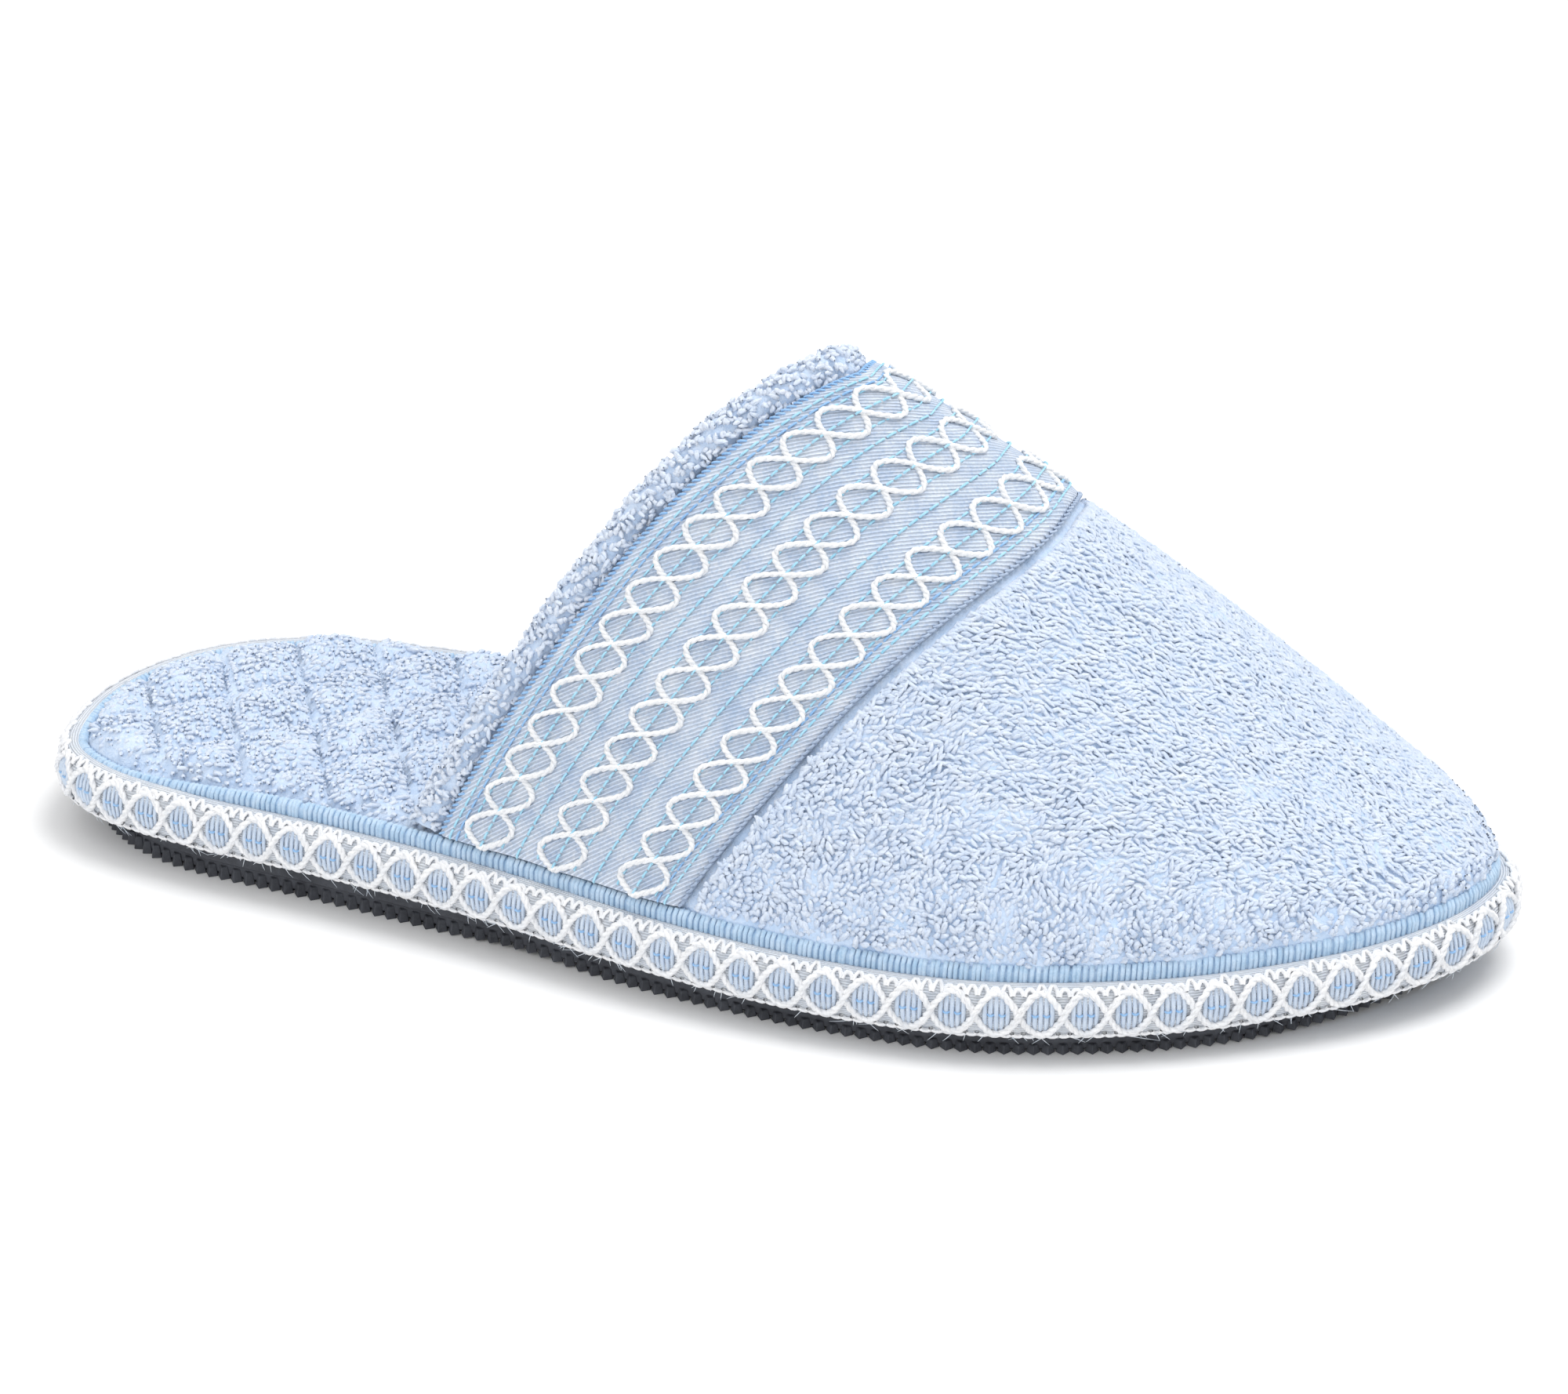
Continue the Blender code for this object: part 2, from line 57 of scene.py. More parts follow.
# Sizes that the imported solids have
LENGTH = 0.255
BALL_WIDTH = 0.095
INSTEP_RISE = 0.086
HEEL_THICKNESS = 0.0062
FORE_THICKNESS = 0.0042
TOE_SPRING = 0.0030
ARCH_RISE = 0.0008
GAP = 0.0003
BINDING_HEIGHT = 0.0095
BINDING_DEPTH = 0.0048
PIPING_THICKNESS = 0.0013
PIPING_RISE = 0.0024
WALL = 0.0035
TOE_ROUNDING = 0.012
CREST_ROUNDING = 0.35
ROLL_WIDTH = 0.0056
ROLL_THICKNESS = 0.0052
QUILT_DEPTH = 0.0026
QUILT_AT_RIM = 0.4
QUILT_ALONG = 0.0158
QUILT_ACROSS = 0.0137
QUILT_ALONG_ANGLE = math.radians(-63.0)
QUILT_ACROSS_ANGLE = math.radians(42.0)
QUILT_START = (0.507, 0.156)
SOLE_INSET = 0.0038
SOLE_END_INSET = 0.0080
SOLE_STEP = 0.0006
RIB_TOP = 0.38

OUTLINE = [
    # share of the length, outer side, big-toe side
    (0.000, 0.045, -0.045),
    (0.012, 0.205, 0.110),
    (0.050, 0.286, 0.262),
    (0.120, 0.338, 0.366),
    (0.220, 0.375, 0.392),
    (0.350, 0.435, 0.381),
    (0.480, 0.513, 0.390),
    (0.600, 0.548, 0.427),
    (0.700, 0.532, 0.456),
    (0.800, 0.444, 0.458),
    (0.880, 0.328, 0.414),
    (0.940, 0.213, 0.333),
    (0.985, 0.070, 0.189),
    (1.000, -0.078, 0.078),
]
SECTIONS = [
    # share, crest's rise, lean, roundness of the outer side, roundness of the big-toe side
    (0.30, 1.000, 0.38, 1.11, 1.9),
    (0.42, 0.990, 0.38, 1.11, 1.9),
    (0.53, 0.893, 0.38, 1.11, 1.9),
    (0.62, 0.745, 0.38, 1.25, 1.9),
    (0.70, 0.590, 0.38, 1.41, 1.9),
    (0.78, 0.425, 0.36, 1.57, 1.9),
    (0.85, 0.280, 0.32, 1.70, 1.9),
    (0.91, 0.162, 0.24, 1.80, 1.9),
    (0.955, 0.095, 0.12, 1.85, 1.9),
    (1.00, 0.055, 0.00, 1.90, 1.9),
]
COLLAR_LINE = (0.311, 0.545, 0.345, 1.62, 3.00)
BAND_LINE = (0.492, 0.685, 0.525, 2.48, 3.20)
HEEL_END = (0.00, 0.12)
TOE_END = (0.84, 1.00)
THINNING = (0.25, 0.65)
SPRING_START = 0.80
ARCH_SPAN = (0.30, 0.44)
PIPING_GROWTH = (0.05, 0.20)
INNER_GROWTH = (0.28, 0.38)
OUTER_NARROWING = (0.275, 0.305)
INNER_NARROWING = (0.315, 0.340)
INSOLE_TAPER = [(0.00, 1.00), (0.55, 1.00), (0.80, 0.86), (0.92, 0.74), (1.00, 0.66)]
BINDING_FACE = [
    # height share, depth share
    (0.00, 0.29),
    (0.22, 0.06),
    (0.50, 0.00),
    (0.78, 0.08),
    (0.97, 0.33),
    (1.00, 0.60),
]

# Trim tape: rows of white wave yarn, as shares of the tape's width, and the threads that hold them
WAVE_ROWS = (0.19, 0.49, 0.82)
WAVE_PITCH = 0.0070
WAVE_REACH = 0.0042
WAVE_SQUARENESS = 0.86
YARN_STEP = 0.00058
PLY_RADIUS = 0.00041
PLY_OFFSET = 0.00024
PLY_TURN = 0.0026
YARN_LIFT = 0.0005
YARN_OVER = 0.0002
ROW_STEPS = 800
ROW_SWELL = 0.0003
ROW_HALF_WIDTH = 0.0036
STITCH_LENGTH = 0.0012
STITCH_PITCH = 0.0017
STITCH_DIVE = 0.0003
JOIN_ROWS = (0.335, 0.655)
JOIN_LENGTH = 0.0017
JOIN_PITCH = 0.0022
HEM_ROWS = (0.055, 0.94)
HEM_LENGTH = 0.0016
HEM_PITCH = 0.0021
HEM_SPREAD = 0.0013
OVERLOCK_PITCH = 0.0011
SEAM_PITCH = 0.0013
STITCH_RADIUS = 0.00022
SEAM_RADIUS = 0.00026
BAND_WIDTH = 0.046
BAND_THICKNESS = 0.0013
BAND_EDGE = 0.0022

# Bound edge: the same tape, with its waves lower
EDGE_PITCH = 0.0073
EDGE_REACH = 0.0037
EDGE_MIDDLE = 0.0050
EDGE_PLY_RADIUS = 0.00050
EDGE_YARN_LIFT = 0.0004
FILLING_STEPS = (-0.26, -0.13, 0.0, 0.13, 0.26)
FILLING_RADIUS = 0.00042
EDGE_STITCH_STEPS = (-0.2, 0.06)
EDGE_STITCH_RADIUS = 0.00020
FRILL_PITCH = 0.0019
FRILL_RISE = 0.0010
FRILL_RADIUS = 0.00042
SELVEDGE_PITCH = 0.0010
SELVEDGE_RADIUS = 0.00050
HAIRS = 520
HAIR_REACH = 0.0022
HAIR_RADIUS = 0.00007

# Pile: how many tufts each part gets, and their sizes
TOE_TUFTS = 13600
TOE_TUFT_LENGTH = 0.0018
TOE_TUFT_RADIUS = 0.00056
BED_TUFTS = 8200
BED_TUFT_LENGTH = 0.0014
BED_TUFT_RADIUS = 0.00052
COLLAR_TUFTS = 3400
COLLAR_TUFT_LENGTH = 0.0015
COLLAR_TUFT_RADIUS = 0.00050
TUFT_ROOT = 0.0003
SWIRL_SIZE = 0.006
SPREAD_STEPS = (0.7548776662, 0.5698402910)

# Fleece: how it swells in front of the tape, and which slopes count as the smooth top of the toe
FLEECE_SWELL = 0.0011
FLEECE_FLATTENING = 0.0005
SWELL_SPAN = (0.0006, 0.004)
SMOOTH_SLOPES = (0.35, 0.80)
COLLAR_UNEVENNESS = 0.00056

# Footbed's upper side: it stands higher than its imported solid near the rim
BED_RIM = 0.0098
BED_HEIGHT = 0.0140
BED_ROLL = 0.0045
BED_CELLS = 14
BED_CELL_STEPS = 14
BED_RIM_CATCH = 0.0018
BED_PILE_REACH = 0.012
BED_PILE_MARGIN = 0.0006
BED_TUFT_SINK = 0.0005
SLOPE_STEP = 0.0004

# Ribs of the sole, and how finely the outline is followed
RIB_PITCH = 0.0025
RIB_FOOT = 0.00125
RIB_HEAD = 0.0008
RIB_BEVEL = 0.00012
FINE_AROUND = 600
MERGE_DISTANCE = GAP / 300
TINY = 1e-12

# Finishes: patch scale, grain scale and relief of each kind of cloth, and how far a tone swings
PILE_GRAIN = (420.0, 2600.0, 0.0003)
YARN_GRAIN = (600.0, 3500.0, 0.0002)
THREAD_GRAIN = (500.0, 3000.0, 0.0001)
TONE_SPAN = (0.36, 0.64)
LIGHT_AIM = (0.0, 0.0, 0.03)


def colour(red, green, blue):
    """Linear colour from a screen colour of 0 to 255."""
    shares = np.array((red, green, blue)) / 255
    linear = np.where(shares <= 0.04045, shares / 12.92, ((shares + 0.055) / 1.055) ** 2.4)
    return (*linear.tolist(), 1.0)


def ramp(value, span):
    """From 0 before a span to 1 after it, with a soft rise between."""
    t = np.clip((value - span[0]) / (span[1] - span[0]), 0, 1)
    return t * t * (3 - 2 * t)


def unit(vectors):
    return vectors / np.maximum(np.linalg.norm(vectors, axis=-1, keepdims=True), TINY)


def even_spread(count):
    """Two lists of shares that together spread evenly over a square."""
    return [(0.5 + step * np.arange(count)) % 1 for step in SPREAD_STEPS]


def read_table(table, column, share):
    """A column's values at shares: a smooth curve through the rows that never overshoots them."""
    places = np.array([row[0] for row in table])
    values = np.array([row[column] for row in table])
    steps = np.diff(places)
    rises = np.diff(values) / steps
    slopes = np.concatenate([rises[:1], np.zeros(len(rises) - 1), rises[-1:]])
    for i in range(1, len(rises)):
        if rises[i - 1] * rises[i] > 0:
            slopes[i] = 2 * rises[i - 1] * rises[i] / (rises[i - 1] + rises[i])
    share = np.clip(share, places[0], places[-1])
    i = np.clip(np.searchsorted(places, share) - 1, 0, len(rises) - 1)
    t = (share - places[i]) / steps[i]
    start = values[i] * (1 + 2 * t) * (1 - t) ** 2 + slopes[i] * steps[i] * t * (1 - t) ** 2
    end = values[i + 1] * t * t * (3 - 2 * t) + slopes[i + 1] * steps[i] * t * t * (t - 1)
    return start + end


def curve_through(before, start, end, after, t):
    """Point of the centripetal curve between start and end."""
    gaps = [math.sqrt(math.dist(a, b)) for a, b in ((before, start), (start, end), (end, after))]
    k0, k1, k2, k3 = 0.0, gaps[0], gaps[0] + gaps[1], sum(gaps)
    k = k1 + t * (k2 - k1)
    a1 = before * ((k1 - k) / (k1 - k0)) + start * ((k - k0) / (k1 - k0))
    a2 = start * ((k2 - k) / (k2 - k1)) + end * ((k - k1) / (k2 - k1))
    a3 = end * ((k3 - k) / (k3 - k2)) + after * ((k - k2) / (k3 - k2))
    b1 = a1 * ((k2 - k) / (k2 - k0)) + a2 * ((k - k0) / (k2 - k0))
    b2 = a2 * ((k3 - k) / (k3 - k1)) + a3 * ((k - k1) / (k3 - k1))
    return b1 * ((k2 - k) / (k2 - k1)) + b2 * ((k - k1) / (k2 - k1))


def outline_loop(count, fine_steps=40):
    """Plan outline at even steps, from the heel along the outer side to the toe and back."""
    outer = [Vector((s * LENGTH, -o * BALL_WIDTH)) for s, o, _ in OUTLINE]
    inner = [Vector((s * LENGTH, i * BALL_WIDTH)) for s, _, i in OUTLINE[1:-1]]
    points = outer + inner[::-1]
    fine = []
    for i in range(len(points)):
        four = [points[(i + k) % len(points)] for k in (-1, 0, 1, 2)]
        fine += [curve_through(*four, step / fine_steps) for step in range(fine_steps)]
    ring = np.array(fine + fine[:1])
    walked = np.concatenate([[0], np.cumsum(np.hypot(*np.diff(ring, axis=0).T))])
    places = np.linspace(0, walked[-1], count + 1)[:-1]
    loop = np.stack([np.interp(places, walked, ring[:, k]) for k in (0, 1)], axis=1)
    return loop - (loop.max(axis=0) + loop.min(axis=0)) / 2


LOOP = outline_loop(FINE_AROUND)
LOOP_RUN = np.roll(LOOP, -1, axis=0) - np.roll(LOOP, 1, axis=0)
INWARDS = np.stack([-LOOP_RUN[:, 1], LOOP_RUN[:, 0]], axis=1) / np.hypot(*LOOP_RUN.T)[:, None]
PERIMETER = float(np.hypot(*(np.roll(LOOP, -1, axis=0) - LOOP).T).sum())
EDGE_WAVE_PITCH = PERIMETER / (2 * round(PERIMETER / (2 * EDGE_PITCH)))


def inset_loop(distances):
    return LOOP + INWARDS * np.broadcast_to(distances, (FINE_AROUND,))[:, None]


def around(values, run):
    """Values of the outline's points, read at distances along it."""
    place = np.asarray(run) / PERIMETER * FINE_AROUND
    steps = np.arange(FINE_AROUND + 1)
    closed = np.vstack([values, values[:1]])
    return np.stack([np.interp(place % FINE_AROUND, steps, column) for column in closed.T], axis=-1)


def length_share(x):
    return x / LENGTH + 0.5


def sole_bottom(x):
    share = length_share(x)
    spring = np.maximum(0.0, (share - SPRING_START) / (1 - SPRING_START)) ** 2
    across = np.clip((share - ARCH_SPAN[0]) / (ARCH_SPAN[1] - ARCH_SPAN[0]), 0, 1)
    return TOE_SPRING * spring + ARCH_RISE * np.sin(math.pi * across) ** 2


def sole_top(x):
    share = length_share(x)
    spring = np.maximum(0.0, (share - SPRING_START) / (1 - SPRING_START)) ** 2
    return HEEL_THICKNESS - (HEEL_THICKNESS - FORE_THICKNESS) * ramp(share, THINNING) + TOE_SPRING * spring


def seam_height(x):
    return sole_top(x) + 2 * GAP + BINDING_HEIGHT + PIPING_RISE


UPPER_INSET = BINDING_DEPTH + GAP
UPPER_LOOP = inset_loop(UPPER_INSET)
TOE_TIP = float(UPPER_LOOP[:, 0].max())


def side_of_upper(x, outer):
    """Y of the upper's foot on one side."""
    tip = int(UPPER_LOOP[:, 0].argmax())
    heel = int(UPPER_LOOP[:, 0].argmin())
    if outer:
        side = np.roll(UPPER_LOOP, -heel, axis=0)[: (tip - heel) % FINE_AROUND + 1]
    else:
        side = np.roll(UPPER_LOOP, -tip, axis=0)[: (heel - tip) % FINE_AROUND + 1][::-1]
    return np.interp(x, side[:, 0], side[:, 1])


def upper_points(x, angle):
    """Points of the upper's skin: angle 0 is the foot of its outer side, pi that of its big-toe side."""
    share = length_share(x)
    rise, lean, outer_round, inner_round = (read_table(SECTIONS, column, share) for column in range(1, 5))
    outer, inner = side_of_upper(x, True), side_of_upper(x, False)
    half, middle = (inner - outer) / 2, (inner + outer) / 2
    power = 2 / np.where(angle < math.pi / 2, outer_round, inner_round)
    nose = np.sqrt(np.maximum(0.0, 1 - np.maximum(0.0, 1 - (TOE_TIP - x) / TOE_ROUNDING) ** 2))
    c, s = np.cos(angle), np.abs(np.sin(angle))
    reach = CREST_ROUNDING * np.abs(c) + (1 - CREST_ROUNDING) * np.abs(c) ** power
    y = middle - half * np.copysign(reach, c) + lean * half * s * s
    return np.stack([x, y, seam_height(x) + INSTEP_RISE * rise * nose * s**power], axis=-1)


def line_x(line, angle):
    outer_foot, crest, inner_foot, outer_turn, inner_turn = line
    near = angle < math.pi / 2
    foot = np.where(near, outer_foot, inner_foot)
    turn = np.where(near, outer_turn, inner_turn)
    return (crest - (crest - foot) * np.abs(np.cos(angle)) ** turn - 0.5) * LENGTH


class Skin:
    """A sheet of points over the part, read at places u and v from 0 to 1."""

    def __init__(self, points):
        self.points = points
        facing = np.cross(np.gradient(points, axis=0), np.gradient(points, axis=1))
        size = np.linalg.norm(facing, axis=2, keepdims=True)
        self.normals = facing / np.maximum(size, TINY)
        self.areas = size[:-1, :-1, 0]

    def read(self, values, u, v):
        rows, columns = self.points.shape[:2]
        i = np.clip(u, 0, 1) * (rows - 1)
        j = np.clip(v, 0, 1) * (columns - 1)
        i0 = np.minimum(i.astype(int), rows - 2)
        j0 = np.minimum(j.astype(int), columns - 2)
        a, b = (i - i0)[..., None], (j - j0)[..., None]
        low = values[i0, j0] * (1 - b) + values[i0, j0 + 1] * b
        high = values[i0 + 1, j0] * (1 - b) + values[i0 + 1, j0 + 1] * b
        return low * (1 - a) + high * a

    def facing(self, u, v):
        return unit(self.read(self.normals, u, v))

    def at(self, u, v, lift=0.0):
        return self.read(self.points, u, v) + self.facing(u, v) * np.asarray(lift)[..., None]

    def scatter(self, count):
        """Places spread evenly over the sheet's area."""
        rows, columns = self.areas.shape
        by_row = np.concatenate([[0], np.cumsum(self.areas.sum(axis=1))])
        jitter = 0.3 / math.sqrt(count)
        first, second = [(shares + jitter * RANDOM.random(count)) % 1 for shares in even_spread(count)]
        u = np.interp(first * by_row[-1], by_row, np.arange(rows + 1)) / rows
        v = np.empty(count)
        for n, row in enumerate(np.minimum((u * rows).astype(int), rows - 1)):
            across = np.concatenate([[0], np.cumsum(self.areas[row])])
            v[n] = np.interp(second[n] * across[-1], across, np.arange(columns + 1)) / columns
        return u, v


def upper_skin(from_line, to_line, rows, columns, crowding=1.0):
    """The upper's skin between two lines across it. A to_line of None is the toe's tip."""
    angle = np.linspace(0, math.pi, columns)
    start = line_x(from_line, angle)
    end = np.full(columns, TOE_TIP) if to_line is None else line_x(to_line, angle)
    left = (1 - np.linspace(0, 1, rows)[:, None]) ** crowding
    x = end - (end - start) * left
    return Skin(upper_points(x, np.broadcast_to(angle, x.shape)))


BAND = upper_skin(COLLAR_LINE, BAND_LINE, 48, 200)
TOE = upper_skin(BAND_LINE, None, 90, 160, 1.7)


def rough(points, scale, amount):
    """Soft uneven heights for a list of points."""
    return np.array([noise.noise(Vector(p) / scale) for p in points]) * amount


# Meshes and threads


def keep(piece, slot, *nodes):
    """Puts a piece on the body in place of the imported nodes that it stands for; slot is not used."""
    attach(piece, "root")
    if nodes:
        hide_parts(*nodes)


def new_piece(name, bm, material, smooth=True):
    mesh = bpy.data.meshes.new(name)
    bm.to_mesh(mesh)
    bm.free()
    if smooth:
        mesh.shade_smooth()
    mesh.materials.append(material)
    piece = bpy.data.objects.new(name, mesh)
    bpy.context.scene.collection.objects.link(piece)
    return piece


def sheet_piece(name, points, material, flat=None):
    """Grid of faces over rows of points; flat holds the cloth's own coordinates, in millimetres."""
    rows, columns = points.shape[:2]
    bm = bmesh.new()
    bmesh.ops.create_grid(bm, x_segments=rows - 1, y_segments=columns - 1, size=0.5)
    places = {}
    for vert in bm.verts:
        row = round((vert.co.x + 0.5) * (rows - 1))
        column = round((vert.co.y + 0.5) * (columns - 1))
        places[vert] = (row, column)
    if flat is not None:
        layer = bm.loops.layers.uv.new("cloth")
        for face in bm.faces:
            for corner in face.loops:
                corner[layer].uv = flat[places[corner.vert]]
    for vert, place in places.items():
        vert.co = points[place]
    bmesh.ops.remove_doubles(bm, verts=bm.verts[:], dist=MERGE_DISTANCE)
    return new_piece(name, bm, material)


def threads(name, paths, radius, taper, material):
    """Many four-sided threads as one curve object. taper holds the radius along each thread, as shares."""
    curve = bpy.data.curves.new(name, "CURVE")
    curve.dimensions = "3D"
    curve.bevel_depth = radius
    curve.bevel_resolution = 0
    for k, path in enumerate(paths):
        spline = curve.splines.new("POLY")
        spline.points.add(len(path) - 1)
        spline.points.foreach_set("co", np.column_stack([path, np.ones(len(path))]).ravel())
        if taper is not None:
            spline.points.foreach_set("radius", taper[k] if np.ndim(taper) == 2 else taper)
    curve.materials.append(material)
    piece = bpy.data.objects.new(name, curve)
    bpy.context.scene.collection.objects.link(piece)
    return piece


def plies(path):
    """The two twisted plies of a yarn: flat paths, with how far each stands off the yarn's middle."""
    run = np.gradient(path, axis=0)
    size = np.hypot(*run.T)
    left = np.stack([-run[:, 1], run[:, 0]], axis=1) / size[:, None]
    turn = 2 * math.pi * np.cumsum(size) / PLY_TURN
    for start in (0.0, math.pi):
        yield path + left * (PLY_OFFSET * np.cos(turn + start))[:, None], PLY_OFFSET * np.sin(turn + start)


# Materials


def fibre_group():
    """Shared variation of every cloth: a soft patchy tone and a fine height."""
    tree = bpy.data.node_groups.new("fibre_tone", "ShaderNodeTree")
    for name in ("Patch", "Grain"):
        tree.interface.new_socket(name, in_out="INPUT", socket_type="NodeSocketFloat")
    for name in ("Tone", "Height"):
        tree.interface.new_socket(name, in_out="OUTPUT", socket_type="NodeSocketFloat")
    nodes, links = tree.nodes, tree.links
    given, made = nodes.new("NodeGroupInput"), nodes.new("NodeGroupOutput")
    place = nodes.new("ShaderNodeTexCoord")
    patch, grain = nodes.new("ShaderNodeTexNoise"), nodes.new("ShaderNodeTexNoise")
    patch.inputs["Detail"].default_value = 3.0
    grain.inputs["Detail"].default_value = 4.0
    grain.inputs["Roughness"].default_value = 0.65
    blend = nodes.new("ShaderNodeMath")
    blend.operation = "MULTIPLY_ADD"
    blend.inputs[1].default_value = 0.5
    half = nodes.new("ShaderNodeMath")
    half.operation = "MULTIPLY"
    half.inputs[1].default_value = 0.5
    for texture, name in ((patch, "Patch"), (grain, "Grain")):
        links.new(place.outputs["Object"], texture.inputs["Vector"])
        links.new(given.outputs[name], texture.inputs["Scale"])
    links.new(grain.outputs["Fac"], half.inputs[0])
    links.new(patch.outputs["Fac"], blend.inputs[0])
    links.new(half.outputs[0], blend.inputs[2])
    links.new(blend.outputs[0], made.inputs["Tone"])
    links.new(grain.outputs["Fac"], made.inputs["Height"])
    return tree


FIBRE = fibre_group()


def cloth(name, dark, light, patch, grain, bump, roughness=0.95, sheen=0.25):
    """Fibrous cloth between two colours, with fine relief."""
    made = bpy.data.materials.new(name)
    made.use_nodes = True
    nodes, links = made.node_tree.nodes, made.node_tree.links
    shader = nodes["Principled BSDF"]
    shader.inputs["Roughness"].default_value = roughness
    shader.inputs["Specular IOR Level"].default_value = 0.15
    shader.inputs["Sheen Weight"].default_value = sheen
    shader.inputs["Sheen Roughness"].default_value = 0.5
    fibre = nodes.new("ShaderNodeGroup")
    fibre.node_tree = FIBRE
    fibre.inputs["Patch"].default_value = patch
    fibre.inputs["Grain"].default_value = grain
    tone = nodes.new("ShaderNodeMapRange")
    tone.inputs["From Min"].default_value, tone.inputs["From Max"].default_value = TONE_SPAN
    mix = nodes.new("ShaderNodeMix")
    mix.data_type = "RGBA"
    mix.inputs[6].default_value = dark
    mix.inputs[7].default_value = light
    relief = nodes.new("ShaderNodeBump")
    relief.inputs["Strength"].default_value = 1.0
    relief.inputs["Distance"].default_value = bump
    links.new(fibre.outputs["Tone"], tone.inputs["Value"])
    links.new(tone.outputs["Result"], mix.inputs[0])
    links.new(mix.outputs[2], shader.inputs["Base Color"])
    links.new(fibre.outputs["Height"], relief.inputs["Height"])
    links.new(relief.outputs["Normal"], shader.inputs["Normal"])
    return made


def woven(name, dark, light, yarn, slant):
    """Tape with slanting yarns: the cloth's own coordinates are in millimetres."""
    made = cloth(name, dark, light, 220.0, 2200.0, 0.0002)
    nodes, links = made.node_tree.nodes, made.node_tree.links
    shader = nodes["Principled BSDF"]
    relief = nodes["Bump"]
    place = nodes.new("ShaderNodeUVMap")
    place.uv_map = "cloth"
    turned = nodes.new("ShaderNodeMapping")
    turned.inputs["Rotation"].default_value[2] = slant
    wave = nodes.new("ShaderNodeTexWave")
    wave.inputs["Scale"].default_value = math.pi / (10 * yarn)
    wave.inputs["Distortion"].default_value = 1.2
    wave.inputs["Detail"].default_value = 2.0
    wave.inputs["Detail Scale"].default_value = 1.5
    tint = nodes.new("ShaderNodeMix")
    tint.data_type = "RGBA"
    tint.blend_type = "MULTIPLY"
    tint.inputs[0].default_value = 0.32
    colour_link = shader.inputs["Base Color"].links[0]
    links.new(place.outputs["UV"], turned.inputs["Vector"])
    links.new(turned.outputs["Vector"], wave.inputs["Vector"])
    links.new(colour_link.from_socket, tint.inputs[6])
    links.new(wave.outputs["Color"], tint.inputs[7])
    links.new(tint.outputs[2], shader.inputs["Base Color"])
    links.new(wave.outputs["Fac"], relief.inputs["Height"])
    return made


def rubber(name):
    made = cloth(name, colour(52, 54, 60), colour(74, 77, 84), 90.0, 900.0, 0.00012, 0.62, 0.0)
    made.node_tree.nodes["Principled BSDF"].inputs["Specular IOR Level"].default_value = 0.35
    return made


# Fleece ground of the upper under the toe's tufts: coloured darker and more saturated than the tufts, as
# painted shade in the gaps between them.
TOE_GROUND_PAINTED_SHADE = cloth("toe_fleece_ground_painted_shade", colour(184, 208, 237), colour(212, 227, 247), 240.0, 1100.0, 0.0005)
TOE_PILE = cloth("toe_fleece_pile", colour(206, 222, 245), colour(232, 240, 252), *PILE_GRAIN)
# Ground under the footbed's and the collar's tufts: coloured darker than their pile, as painted shade in the
# gaps between tufts.
BED_GROUND_PAINTED_SHADE = cloth("footbed_ground_painted_shade", colour(186, 208, 236), colour(218, 231, 248), 260.0, 1200.0, 0.0005)
BED_PILE = cloth("footbed_pile", colour(208, 223, 245), colour(234, 241, 252), *PILE_GRAIN)
COLLAR_PILE = cloth("collar_pile", colour(212, 226, 246), colour(236, 242, 252), *PILE_GRAIN)
TAPE = woven("trim_tape", colour(184, 203, 230), colour(232, 239, 250), 0.8, math.radians(40))
EDGE_TAPE = woven("edge_tape", colour(222, 231, 244), colour(244, 248, 253), 0.5, math.radians(90))
WHITE_YARN = cloth("white_yarn", colour(236, 239, 244), colour(252, 252, 253), *YARN_GRAIN)
PALE_YARN = cloth("pale_blue_yarn", colour(200, 216, 237), colour(222, 233, 246), *YARN_GRAIN)
CYAN_THREAD = cloth("cyan_thread", colour(150, 208, 234), colour(184, 226, 244), *THREAD_GRAIN)
BLUE_THREAD = cloth("blue_thread", colour(132, 178, 226), colour(164, 202, 238), *THREAD_GRAIN)
# Seam thread along the tape's front edge, in a grey darker than the other threads: painted shade of the trough
# between the tape and the toe fleece.
SEAM_SHADE_THREAD = cloth("seam_thread_painted_shade", colour(150, 168, 194), colour(184, 199, 220), *THREAD_GRAIN)
SELVEDGE = cloth("selvedge_thread", colour(164, 196, 224), colour(200, 220, 240), *THREAD_GRAIN)
GREY_HAIR = cloth("loose_fibre", colour(190, 200, 212), colour(228, 234, 240), *THREAD_GRAIN)
RUBBER = rubber("sole_rubber")


# Upper


def tufts(roots, normals, nap, length, lay, curl):
    """Paths of short tufts: nap is the way that they lie, and lay from 0, standing, to 1, lying."""
    count = len(roots)
    side = np.cross(normals, nap)
    size = length * (0.7 + 0.6 * RANDOM.random(count))[:, None]
    swing = curl * RANDOM.normal(size=(count, 1))
    twist = curl * RANDOM.normal(size=(count, 1))
    lay = np.broadcast_to(lay, (count,))[:, None]
    paths = [roots - normals * TUFT_ROOT]
    for share in (0.35, 0.7, 1.0):
        up = (share * (1 - 0.75 * lay) + 0.15 * math.sin(math.pi * share)) * size
        along = share**1.4 * (0.25 + 0.75 * lay) * size
        across = (swing * share + twist * math.sin(1.5 * math.pi * share)) * size
        paths.append(roots + normals * up + nap * along + side * across)
    return np.stack(paths, axis=1)


def flat_along(vectors, normals):
    """Vectors laid into the surface, a unit long."""
    return unit(vectors - normals * (vectors * normals).sum(axis=1, keepdims=True))


